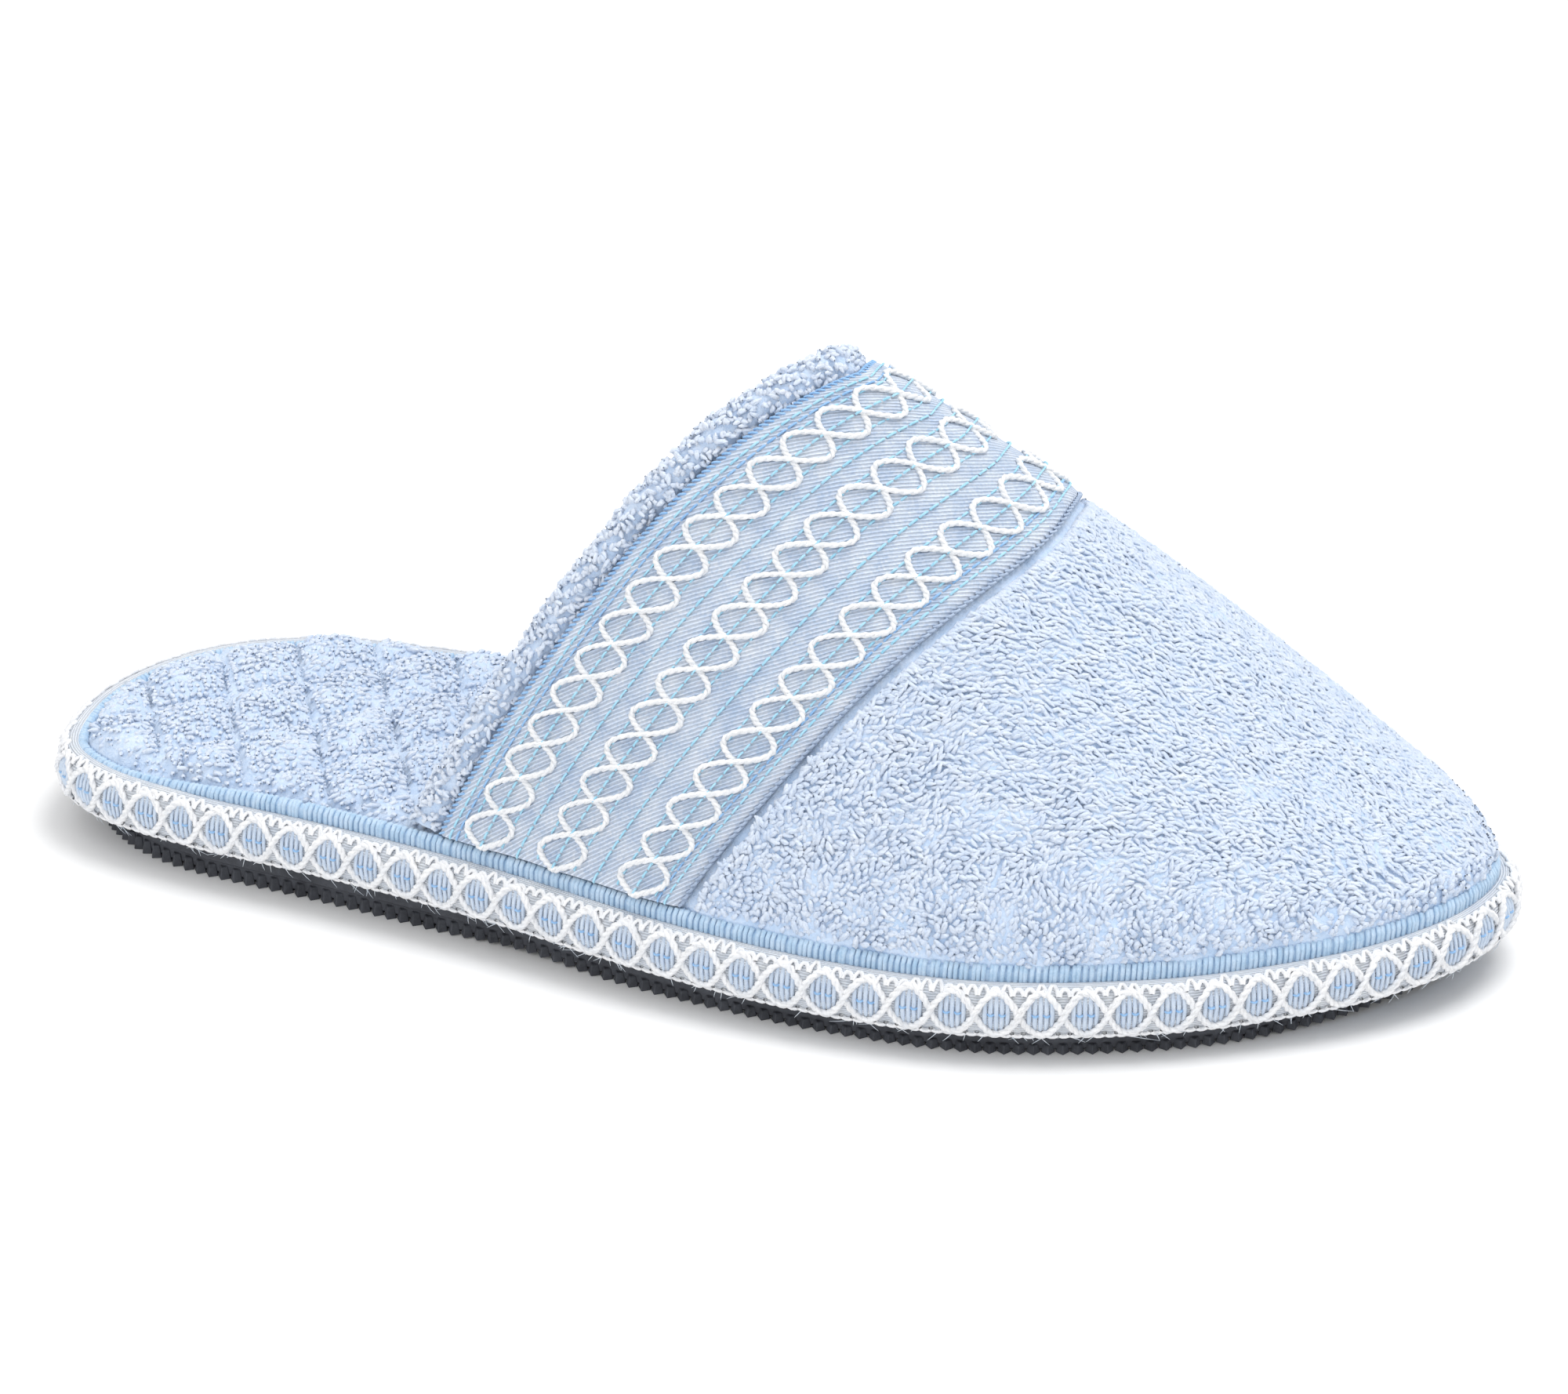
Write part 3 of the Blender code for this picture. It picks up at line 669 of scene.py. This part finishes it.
def make_fleece():
    """The upper's fleece: skin and lining in one wall, soft and uneven over the toe."""
    skin = upper_skin(COLLAR_LINE, None, 130, 130, 1.25)
    points = skin.points.copy()
    past_band = points[..., 0] - line_x(BAND_LINE, np.linspace(0, math.pi, points.shape[1]))[None, :]
    smooth = ramp(skin.normals[..., 2], SMOOTH_SLOPES)
    swell = ramp(past_band, SWELL_SPAN) * (FLEECE_SWELL - FLEECE_FLATTENING * smooth)
    spots = points.reshape(-1, 3)
    uneven = (rough(spots, 0.0055, 0.0005) + rough(spots, 0.0021, 0.0003)).reshape(swell.shape)
    points += skin.normals * (swell + uneven * (past_band > 0))[..., None]
    feet = [points[:, k].copy() for k in (0, -1)]
    for foot in feet:
        foot[:, 2] = sole_top(foot[:, 0]) + GAP
    full = np.concatenate([feet[0][:, None], points, feet[1][:, None]], axis=1)
    piece = sheet_piece("fleece_upper", full, TOE_GROUND_PAINTED_SHADE)
    wall = piece.modifiers.new("wall", "SOLIDIFY")
    wall.thickness = WALL - 0.0002
    wall.offset = -1.0
    keep(piece, "upper_fleece", "upper")


def swirled(nap, normals, roots, amount):
    """Ways that the nap lies, turned in soft patches and a little from tuft to tuft."""
    angle = rough(roots, SWIRL_SIZE, 2.0) + rough(roots, SWIRL_SIZE / 3, 1.2)
    angle += RANDOM.normal(size=len(roots)) * 0.3
    angle = (angle * amount)[:, None]
    return nap * np.cos(angle) + np.cross(normals, nap) * np.sin(angle)


def make_toe_pile():
    """Plush tufts: they stand in curly clumps low on the sides and lie smooth over the top."""
    u, v = TOE.scatter(TOE_TUFTS)
    u = np.clip(u, 0.012, 0.995)
    roots = TOE.at(u, v, TUFT_ROOT)
    normals = TOE.facing(u, v)
    smooth = ramp(normals[:, 2], SMOOTH_SLOPES)
    way = np.outer(1 - smooth, (0.25, 0.0, 1.0)) + np.outer(smooth, (1.0, -0.15, 0.2))
    nap = swirled(flat_along(way, normals), normals, roots, 1.0 - 0.75 * smooth)
    paths = tufts(roots, normals, nap, TOE_TUFT_LENGTH, 0.55 + 0.37 * smooth, 0.16)
    taper = np.outer(1.0 - 0.25 * smooth, (0.9, 1.05, 0.95, 0.35))
    near = v < np.median(v)
    for name, chosen in (("toe_pile_outer", near), ("toe_pile_inner", ~near)):
        piece = threads(name, paths[chosen], TOE_TUFT_RADIUS, taper[chosen], TOE_PILE)
        keep(piece, "upper_fleece")


# Trim tape


def tape_row(share):
    """Reads places on the tape: a distance along the row at this share of its width, one across, a lift."""
    v = np.linspace(0, 1, ROW_STEPS)
    line = BAND.at(np.full(ROW_STEPS, share), v)
    run = np.concatenate([[0], np.cumsum(np.linalg.norm(np.diff(line, axis=0), axis=1))])
    widths = np.linalg.norm(np.diff(BAND.points, axis=0), axis=2).sum(axis=0)
    places = np.linspace(0, 1, len(widths))

    def place(along, across, lift):
        at = np.interp(along, run, v)
        return BAND.at(share + across / np.interp(at, places, widths), at, lift)

    return place, float(run[-1])


def wave(length, pitch, reach, side):
    """Flat path of one wave yarn: round-shouldered lobes that cross the middle once a pitch."""
    turn = math.pi * np.arange(0.0, length, YARN_STEP / 3) / pitch
    swing = np.copysign(np.abs(np.sin(turn)) ** WAVE_SQUARENESS, np.sin(turn))
    path = np.stack([turn * pitch / math.pi, side * reach * swing], axis=1)
    walked = np.concatenate([[0], np.cumsum(np.hypot(*np.diff(path, axis=0).T))])
    even = np.arange(0.0, walked[-1], YARN_STEP)
    return np.stack([np.interp(even, walked, path[:, k]) for k in (0, 1)], axis=1)


def crossing_waves(length, pitch, reach):
    """Plies of two wave yarns that pass over and under each other: along, across and lift of each."""
    for side in (-1, 1):
        for path, lift in plies(wave(length, pitch, reach, side)):
            over = YARN_OVER * side * np.cos(math.pi * path[:, 0] / pitch)
            yield path[:, 0], path[:, 1], over + lift


def mean_run(points, axis):
    """Distances walked over a sheet along one of its axes, averaged over the other."""
    steps = np.linalg.norm(np.diff(points, axis=axis), axis=2).mean(axis=1 - axis)
    return np.concatenate([[0], np.cumsum(steps)])


def make_tape():
    """Raised tape with rolled edges."""
    across, along = mean_run(BAND.points, 0), mean_run(BAND.points, 1)
    edge = np.minimum(across, across[-1] - across) / BAND_EDGE
    lift = GAP + BAND_THICKNESS * np.sqrt(np.clip(1 - (1 - np.clip(edge, 0, 1)) ** 2, 0, 1))
    for share in WAVE_ROWS:
        lift += ROW_SWELL * np.exp(-(((across / across[-1] - share) * BAND_WIDTH / ROW_HALF_WIDTH) ** 2))
    points = BAND.points + BAND.normals * lift[:, None, None]
    flat = np.stack(np.meshgrid(across * 1000, along * 1000, indexing="ij"), axis=-1)
    keep(sheet_piece("trim_tape", points, TAPE, flat), "woven_trim", "trim_band")


def make_tape_waves():
    strands = []
    for share in WAVE_ROWS:
        place, length = tape_row(share)
        for along, across, lift in crossing_waves(length, WAVE_PITCH, WAVE_REACH):
            strands.append(place(along, across, GAP + BAND_THICKNESS + YARN_LIFT + lift))
    keep(threads("tape_waves", strands, PLY_RADIUS, None, WHITE_YARN), "woven_trim")


def dashes(place, length, across, stitch, pitch, lift, start=0.0):
    """Running stitches along a line: short threads that dive in at both ends."""
    made = []
    for begin in np.arange(start, length - stitch, pitch):
        along = begin + stitch * np.array((0.0, 0.2, 0.8, 1.0))
        made.append(place(along, np.full(4, across), lift - STITCH_DIVE * np.array((1, 0, 0, 1))))
    return made


def make_tape_stitches():
    cyan, blue, seam_shade = [], [], []
    top = GAP + BAND_THICKNESS + 0.0003
    for share in WAVE_ROWS:
        place, length = tape_row(share)
        cyan += dashes(place, length, 0.0, STITCH_LENGTH, STITCH_PITCH, top + 0.0006)
        for across in (-ROW_HALF_WIDTH, ROW_HALF_WIDTH):
            cyan += dashes(place, length, across, STITCH_LENGTH, STITCH_PITCH, top, 0.0008)
    for share in JOIN_ROWS:
        place, length = tape_row(share)
        cyan += dashes(place, length, 0.0, JOIN_LENGTH, JOIN_PITCH, top + 0.0001)
    for share, inwards in zip(HEM_ROWS, (HEM_SPREAD, -HEM_SPREAD)):
        place, length = tape_row(share)
        cyan += dashes(place, length, 0.0, HEM_LENGTH, HEM_PITCH, top)
        blue += dashes(place, length, inwards, HEM_LENGTH, HEM_PITCH, top)
    place, length = tape_row(0.0)
    for begin in np.arange(0.0, length - 0.001, OVERLOCK_PITCH):
        along = begin + np.array((0.0, 0.0003, 0.0006, 0.0009))
        across = np.array((-0.0002, 0.0004, 0.0010, 0.0015))
        blue.append(place(along, across, np.array((0.0006, 0.0014, 0.0014, 0.0008))))
    keep(threads("tape_stitches", cyan, STITCH_RADIUS, None, CYAN_THREAD), "woven_trim")
    keep(threads("tape_seams", blue, STITCH_RADIUS, None, BLUE_THREAD), "woven_trim")
    # Front edge: a seam of grey threads whose darkness is painted shade of the trough between the tape and the
    # toe fleece.
    place, length = tape_row(1.0)
    for begin in np.arange(0.0, length - SEAM_PITCH, SEAM_PITCH):
        along = begin + SEAM_PITCH * np.array((0.0, 0.4, 0.8, 1.1))
        across = np.array((-0.0005, 0.0001, 0.0005, 0.0009))
        seam_shade.append(place(along, across, np.array((0.0010, 0.0014, 0.0012, 0.0006))))
    keep(threads("tape_front_seam_shade", seam_shade, SEAM_RADIUS, None, SEAM_SHADE_THREAD), "woven_trim")


# Collar


def collar_frames(count):
    """Centres of the collar's roll, with the ways back and out at each."""
    v = np.linspace(0, 1, count)
    edge = BAND.at(np.zeros(count), v)
    run = unit(np.gradient(edge, axis=0))
    back = flat_along(edge - BAND.at(np.full(count, 0.12), v), run)
    out = flat_along(flat_along(BAND.facing(np.zeros(count), v), run), back)
    centre = edge - out * (WALL / 2) + back * (GAP + ROLL_WIDTH / 2)
    return centre, back, out


def make_collar():
    """Soft roll along the collar's edge, and its fluff."""
    count, sides = 220, 24
    centre, back, out = collar_frames(count)
    turn = np.linspace(0, 2 * math.pi, sides + 1)
    ring = (
        centre[:, None]
        + back[:, None] * (np.cos(turn) * ROLL_WIDTH / 2)[None, :, None]
        + out[:, None] * (np.sin(turn) * ROLL_THICKNESS / 2)[None, :, None]
    )
    facing = unit(ring - centre[:, None])
    uneven = rough(ring.reshape(-1, 3), 0.004, COLLAR_UNEVENNESS).reshape(count, sides + 1)
    ring += facing * uneven[..., None]
    skin = Skin(ring)
    skin.normals = facing
    keep(sheet_piece("collar_fleece", ring, BED_GROUND_PAINTED_SHADE), "collar_fleece", "collar_roll")
    u, v = skin.scatter(COLLAR_TUFTS)
    normals = skin.facing(u, v)
    nap = flat_along(RANDOM.normal(size=(len(u), 3)), normals)
    paths = tufts(skin.at(u, v, -0.0002), normals, nap, COLLAR_TUFT_LENGTH, 0.6, 0.2)
    piece = threads("collar_pile", paths, COLLAR_TUFT_RADIUS, (0.9, 1.0, 0.9, 0.3), COLLAR_PILE)
    keep(piece, "collar_fleece")


# Footbed


def quilt_axes():
    """Where the quilting starts in plan, and one cell along each of its two ways."""
    turn = abs(math.sin(QUILT_ACROSS_ANGLE - QUILT_ALONG_ANGLE))
    along = np.array((math.cos(QUILT_ALONG_ANGLE), math.sin(QUILT_ALONG_ANGLE))) * (QUILT_ALONG / turn)
    across = np.array((math.cos(QUILT_ACROSS_ANGLE), math.sin(QUILT_ACROSS_ANGLE))) * (QUILT_ACROSS / turn)
    start = np.array(((QUILT_START[0] - 0.5) * LENGTH, QUILT_START[1] * BALL_WIDTH))
    return start, along, across


def in_lattice(places):
    """Places in plan, counted in quilting cells."""
    start, along, across = quilt_axes()
    return np.linalg.solve(np.stack([along, across], axis=1), (places - start).T).T


def insole_loop():
    """Plan of the footbed: full width up to where each side of the collar comes down."""
    share = length_share(LOOP[:, 0])
    narrowed = np.where(LOOP[:, 1] < 0, ramp(share, OUTER_NARROWING), ramp(share, INNER_NARROWING))
    return inset_loop(UPPER_INSET + (WALL + GAP) * narrowed)


def quilted_heights(places, lattice, edge):
    """Top of the footbed at places in plan, from where they lie in the quilting and how far from the rim."""
    pillow = np.abs(np.sin(math.pi * lattice[:, 0]) * np.sin(math.pi * lattice[:, 1])) ** 0.42
    taper = read_table(INSOLE_TAPER, 1, length_share(places[:, 0]))
    risen = np.sin(math.pi / 2 * np.clip(edge / BED_ROLL, 0, 1))
    full = BED_RIM + (BED_HEIGHT - BED_RIM) * risen
    depth = QUILT_DEPTH * (QUILT_AT_RIM + (1 - QUILT_AT_RIM) * risen)
    return sole_top(places[:, 0]) + taper * (full - depth * (1 - pillow))


def nearest_on(loop, places):
    """Nearest points of a loop, distances, and whether the places lie inside."""
    nearest, distance, inside = [], [], []
    following = np.roll(loop, -1, axis=0)
    run = following - loop
    length = (run * run).sum(axis=1)
    for place in places:
        t = np.clip(((place - loop) * run).sum(axis=1) / length, 0, 1)
        on = loop + run * t[:, None]
        gap = np.hypot(*(on - place).T)
        k = int(gap.argmin())
        nearest.append(on[k])
        distance.append(gap[k])
        inside.append(run[k, 0] * (place - loop[k])[1] - run[k, 1] * (place - loop[k])[0] > 0)
    return np.array(nearest), np.array(distance), np.array(inside)


def make_footbed():
    """Quilted fleece, its faces following the stitched lines, and its sides down to the sole."""
    start, along, across = quilt_axes()
    loop = insole_loop()
    segments = 2 * BED_CELLS * BED_CELL_STEPS
    bm = bmesh.new()
    bmesh.ops.create_grid(bm, x_segments=segments, y_segments=segments, size=BED_CELLS)
    verts = bm.verts[:]
    lattice = np.array([v.co.xy for v in verts])
    places = start + lattice[:, :1] * along + lattice[:, 1:] * across
    margin = 0.004
    low, high = loop.min(axis=0) - margin, loop.max(axis=0) + margin
    near = np.flatnonzero(((places > low) & (places < high)).all(axis=1))
    nearest, distance, inside = nearest_on(loop, places[near])
    held = inside | (distance <= BED_RIM_CATCH)
    kept, inside = near[held], inside[held]
    where = np.where(inside[:, None], places[kept], nearest[held])
    heights = quilted_heights(where, lattice[kept], np.where(inside, distance[held], 0.0))
    points = np.column_stack([where, heights])
    points[:, 2] += rough(points, 0.006, 0.0004) + rough(points, 0.0018, 0.0002)
    for k, point in zip(kept, points):
        verts[k].co = point
    outside = np.setdiff1d(np.arange(len(verts)), kept)
    bmesh.ops.delete(bm, geom=[verts[k] for k in outside], context="VERTS")
    rim = [e for e in bm.edges if e.is_boundary]
    side = bmesh.ops.extrude_edge_only(bm, edges=rim)
    for item in side["geom"]:
        if isinstance(item, bmesh.types.BMVert):
            item.co.z = sole_top(item.co.x) + GAP
    piece = new_piece("quilted_footbed", bm, BED_GROUND_PAINTED_SHADE)
    keep(piece, "quilted_fleece", "insole")


def make_bed_pile():
    """Short curly pile on the open part of the footbed, thinner in the stitched grooves."""
    loop = insole_loop()
    low, high = loop.min(axis=0), loop.max(axis=0)
    high[0] = (COLLAR_LINE[1] - 0.5) * LENGTH + BED_PILE_REACH
    spread = np.stack(even_spread(BED_TUFTS), axis=1)
    places = low + (high - low) * spread + RANDOM.normal(size=(BED_TUFTS, 2)) * 0.0002
    _, distance, inside = nearest_on(loop, places)
    chosen = inside & (distance > BED_PILE_MARGIN)
    places, distance = places[chosen], distance[chosen]
    lattice = in_lattice(places)
    groove = np.minimum(*np.abs((lattice + 0.5) % 1 - 0.5).T)
    heights = quilted_heights(places, lattice, distance)
    slopes = []
    for shift in ((SLOPE_STEP, 0.0), (0.0, SLOPE_STEP)):
        moved = places + shift
        slopes.append((quilted_heights(moved, in_lattice(moved), distance) - heights) / SLOPE_STEP)
    normals = unit(np.stack([-slopes[0], -slopes[1], np.ones(len(heights))], axis=1))
    roots = np.column_stack([places, heights - BED_TUFT_SINK])
    way = np.tile((0.6, -0.6, 0.0), (len(roots), 1))
    nap = swirled(flat_along(way, normals), normals, roots, 0.7)
    grown = np.clip(groove / 0.09, 0.15, 1)
    paths = tufts(roots, normals, nap, BED_TUFT_LENGTH, 0.6, 0.25)
    paths = roots[:, None] + (paths - roots[:, None]) * grown[:, None, None]
    taper = np.outer(0.5 + 0.5 * grown, (0.9, 1.0, 0.9, 0.25))
    keep(threads("footbed_pile", paths, BED_TUFT_RADIUS, taper, BED_PILE), "quilted_fleece")


# Bound edge


def edge_place(along, height, lift):
    """Points on the bound edge's face: distance round the outline, height above the rubber, lift outwards."""
    shares, depths = np.array(BINDING_FACE).T
    depth = np.interp(height / BINDING_HEIGHT, shares, depths) * BINDING_DEPTH
    plan = around(LOOP, along) + around(INWARDS, along) * (depth - lift)[..., None]
    return np.concatenate([plan, (sole_top(plan[..., 0]) + GAP + height)[..., None]], axis=-1)


def make_edge():
    """Tape wrapped over the edge: its outer face, its rolled top, and down inside."""
    along = np.linspace(0, PERIMETER, FINE_AROUND // 2 + 1)
    rings = []
    for height in (0.0, 0.06, 0.22, 0.36, 0.5, 0.64, 0.78, 0.9):
        rings.append(edge_place(along, np.full(len(along), height * BINDING_HEIGHT), 0.0))
    for depth, height in ((0.33, 0.98), (0.62, 1.0), (1.0, 0.93), (1.0, 0.4)):
        plan = around(LOOP, along) + around(INWARDS, along) * depth * BINDING_DEPTH
        z = sole_top(plan[:, 0]) + GAP + height * BINDING_HEIGHT
        rings.append(np.column_stack([plan, z]))
    points = np.stack(rings, axis=1)
    flat = np.stack(np.meshgrid(along * 1000, mean_run(points, 1) * 1000, indexing="ij"), axis=-1)
    piece = sheet_piece("edge_tape", points, EDGE_TAPE, flat)
    rounding = piece.modifiers.new("rounding", "SUBSURF")
    rounding.levels = 1
    rounding.render_levels = 1
    keep(piece, "binding_tape", "edge_binding")


def make_edge_waves():
    strands = []
    for along, height, lift in crossing_waves(PERIMETER, EDGE_WAVE_PITCH, EDGE_REACH):
        strands.append(edge_place(along, EDGE_MIDDLE + height, EDGE_YARN_LIFT + lift))
    keep(threads("edge_waves", strands, EDGE_PLY_RADIUS, None, WHITE_YARN), "binding_tape")


def make_edge_filling():
    """Upright blue yarns in the ovals, small stitches across them, and white frills along top and foot."""
    filling, stitches, frills = [], [], []
    for k in range(round(PERIMETER / EDGE_WAVE_PITCH)):
        centre = (k + 0.5) * EDGE_WAVE_PITCH
        for step in FILLING_STEPS:
            reach = EDGE_REACH * math.cos(math.pi * step) ** 0.6 * 0.82
            height = EDGE_MIDDLE + np.linspace(-reach, reach, 5)
            bow = np.array((-0.0002, 0.0001, 0.0002, 0.0001, -0.0002))
            filling.append(edge_place(np.full(5, centre + step * EDGE_WAVE_PITCH), height, bow))
        for step in EDGE_STITCH_STEPS:
            along = centre + step * EDGE_WAVE_PITCH + np.array((0.0, 0.0003, 0.0008, 0.0011))
            bow = np.array((0.0, 0.0006, 0.0006, 0.0))
            stitches.append(edge_place(along, np.full(4, EDGE_MIDDLE), bow))
    count = round(PERIMETER / FRILL_PITCH)
    turn = np.linspace(0, math.pi, 6)
    for k in range(count):
        along = (k + 0.5 - 0.46 * np.cos(turn)) * PERIMETER / count
        height = BINDING_HEIGHT * 0.86 + (FRILL_RISE + 0.0003 * RANDOM.random()) * np.sin(turn)
        frills.append(edge_place(along, height, 0.0003 + 0.0002 * RANDOM.random()))
        foot = BINDING_HEIGHT * 0.13 - 0.6 * FRILL_RISE * np.sin(turn)
        frills.append(edge_place(along, foot, 0.0002 + 0.0002 * RANDOM.random()))
    keep(threads("edge_filling", filling, FILLING_RADIUS, None, PALE_YARN), "binding_tape")
    keep(threads("edge_stitches", stitches, EDGE_STITCH_RADIUS, None, BLUE_THREAD), "binding_tape")
    keep(threads("edge_frill", frills, FRILL_RADIUS, None, WHITE_YARN), "binding_tape")


def make_selvedge():
    """Overlocked strip between the bound edge and the upper: close threads that loop over its top."""
    share = length_share(LOOP[:, 0])
    grown = np.where(LOOP[:, 1] < 0, ramp(share, PIPING_GROWTH), ramp(share, INNER_GROWTH))
    profile = [(1.0, 0.0030), (1.0, 0.0010), (0.6, 0.0003), (0.2, 0.0003), (0.0, 0.0010), (0.0, 0.0030)]
    rings = []
    for depth, drop in profile:
        plan = inset_loop(BINDING_DEPTH - PIPING_THICKNESS * depth)
        z = sole_top(LOOP[:, 0]) + GAP + BINDING_HEIGHT + PIPING_RISE * grown - drop
        rings.append(np.column_stack([plan, z]))
    core = np.stack(rings, axis=1)
    core = np.concatenate([core, core[:1]])
    keep(sheet_piece("selvedge_core", core, SELVEDGE), "selvedge", "seam_piping")
    count = round(PERIMETER / SELVEDGE_PITCH)
    loops = []
    for k in range(count):
        along = np.full(5, (k + 0.5 + 0.15 * RANDOM.normal()) * PERIMETER / count)
        along += np.linspace(0, 0.0005, 5)
        x, y = around(LOOP, along[:1])[0]
        grown = ramp(length_share(x), PIPING_GROWTH if y < 0 else INNER_GROWTH)
        top = BINDING_HEIGHT + PIPING_RISE * grown
        height = np.array((0.84 * BINDING_HEIGHT, top - 0.0009, top - 0.0001, top - 0.0002, top - 0.0012))
        depth = BINDING_DEPTH - PIPING_THICKNESS * np.array((1.0, 1.08, 0.72, 0.25, 0.0))
        plan = around(LOOP, along) + around(INWARDS, along) * depth[:, None]
        loops.append(np.column_stack([plan, sole_top(plan[:, 0]) + GAP + height]))
    keep(threads("selvedge", loops, SELVEDGE_RADIUS, (0.8, 1.0, 1.1, 1.0, 0.8), SELVEDGE), "selvedge")


def make_loose_fibres():
    """Stray hairs that hang from the bound edge over the rubber."""
    hairs = []
    for _ in range(HAIRS):
        along = RANDOM.random() * PERIMETER + np.linspace(0, HAIR_REACH * RANDOM.normal(), 4)
        height = 0.0008 - np.linspace(0, HAIR_REACH * RANDOM.random(), 4)
        lift = 0.0002 + 0.0006 * RANDOM.random() * np.array((0.0, 0.6, 1.0, 0.8))
        hairs.append(edge_place(along, height, lift))
    keep(threads("loose_fibres", hairs, HAIR_RADIUS, (1.0, 1.0, 0.8, 0.3), GREY_HAIR), "binding_tape")


# Sole


def rib_loop():
    """Plan of the foot of the rubber's side, where the ribs stand."""
    share = length_share(LOOP[:, 0])
    at_ends = 1 - ramp(share, HEEL_END) + ramp(share, TOE_END)
    return inset_loop(SOLE_INSET + (SOLE_END_INSET - SOLE_INSET) * at_ends + SOLE_STEP)


def make_ribs():
    """Transverse ribs round the foot of the rubber's side."""
    loop = rib_loop()
    run = unit(np.roll(loop, -1, axis=0) - np.roll(loop, 1, axis=0))
    count = round(PERIMETER / RIB_PITCH)
    bm = bmesh.new()
    for k in range(count):
        along = k * PERIMETER / count
        x, y = around(loop, along)
        way = around(run, along)
        bottom, top = float(sole_bottom(x)), float(sole_top(x))
        height = RIB_TOP * (top - bottom)
        turn = Matrix(((way[0], -way[1], 0), (way[1], way[0], 0), (0, 0, 1))).to_4x4()
        stand = Matrix.Translation((x, y, bottom + height / 2)) @ turn
        bmesh.ops.create_cone(
            bm, cap_ends=True, segments=4, radius1=RIB_FOOT, radius2=RIB_HEAD, depth=height, matrix=stand
        )
    piece = new_piece("sole_ribs", bm, RUBBER, smooth=False)
    bevel = piece.modifiers.new("worn_edges", "BEVEL")
    bevel.width = RIB_BEVEL
    keep(piece, "outsole_rubber")


# Stage


def make_stage():
    bm = bmesh.new()
    bmesh.ops.create_grid(bm, x_segments=1, y_segments=1, size=3.0)
    ground = bpy.data.materials.new("pale_floor")
    ground.use_nodes = True
    shader = ground.node_tree.nodes["Principled BSDF"]
    shader.inputs["Base Color"].default_value = (0.93, 0.93, 0.93, 1)
    shader.inputs["Roughness"].default_value = 0.9
    floor = new_piece("floor", bm, ground, smooth=False)


def add_light(name, place, size, power):
    data = bpy.data.lights.new(name, "AREA")
    data.shape = "DISK"
    data.size = size
    data.energy = power
    lamp = bpy.data.objects.new(name, data)
    bpy.context.scene.collection.objects.link(lamp)
    lamp.location = place
    lamp.rotation_euler = (Vector(LIGHT_AIM) - Vector(place)).to_track_quat("-Z", "Y").to_euler()


def make_lights():
    world = bpy.data.worlds.new("studio")
    bpy.context.scene.world = world
    world.use_nodes = True
    background = world.node_tree.nodes["Background"]
    background.inputs["Color"].default_value = (1.0, 1.0, 1.0, 1)
    background.inputs["Strength"].default_value = 0.9
    add_light("key", (0.35, 0.25, 1.3), 0.9, 10.0)
    add_light("front", (-0.6, -1.1, 0.7), 1.0, 3.0)
    bpy.context.scene.view_settings.view_transform = "Standard"


def make_camera():
    sin_a, cos_a = math.sin(CAMERA_AZIMUTH), math.cos(CAMERA_AZIMUTH)
    sin_e, cos_e = math.sin(CAMERA_ELEVATION), math.cos(CAMERA_ELEVATION)
    right = Vector((cos_a, sin_a, 0))
    back = Vector((sin_a * cos_e, -cos_a * cos_e, sin_e))
    data = bpy.data.cameras.new("camera")
    data.sensor_width = SENSOR_WIDTH
    data.lens = FOCAL_PIXELS / PHOTO_WIDTH * SENSOR_WIDTH
    data.shift_x = (PHOTO_WIDTH / 2 - AXIS_PIXEL[0]) / PHOTO_WIDTH
    data.shift_y = (AXIS_PIXEL[1] - PHOTO_HEIGHT / 2) / PHOTO_WIDTH
    data.clip_start = 0.01
    camera = bpy.data.objects.new("camera", data)
    turned = Matrix((right, back.cross(right), back)).transposed().to_4x4()
    camera.matrix_world = Matrix.Translation(CAMERA_TARGET + back * CAMERA_DISTANCE) @ turned
    bpy.context.scene.collection.objects.link(camera)
    bpy.context.scene.camera = camera


def main():
    make_camera()
    make_lights()
    make_stage()
    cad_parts["outsole"].data.materials[0] = RUBBER
    make_ribs()
    make_fleece()
    make_toe_pile()
    make_tape()
    make_tape_waves()
    make_tape_stitches()
    make_collar()
    make_footbed()
    make_bed_pile()
    make_edge()
    make_edge_waves()
    make_edge_filling()
    make_selvedge()
    make_loose_fibres()


main()
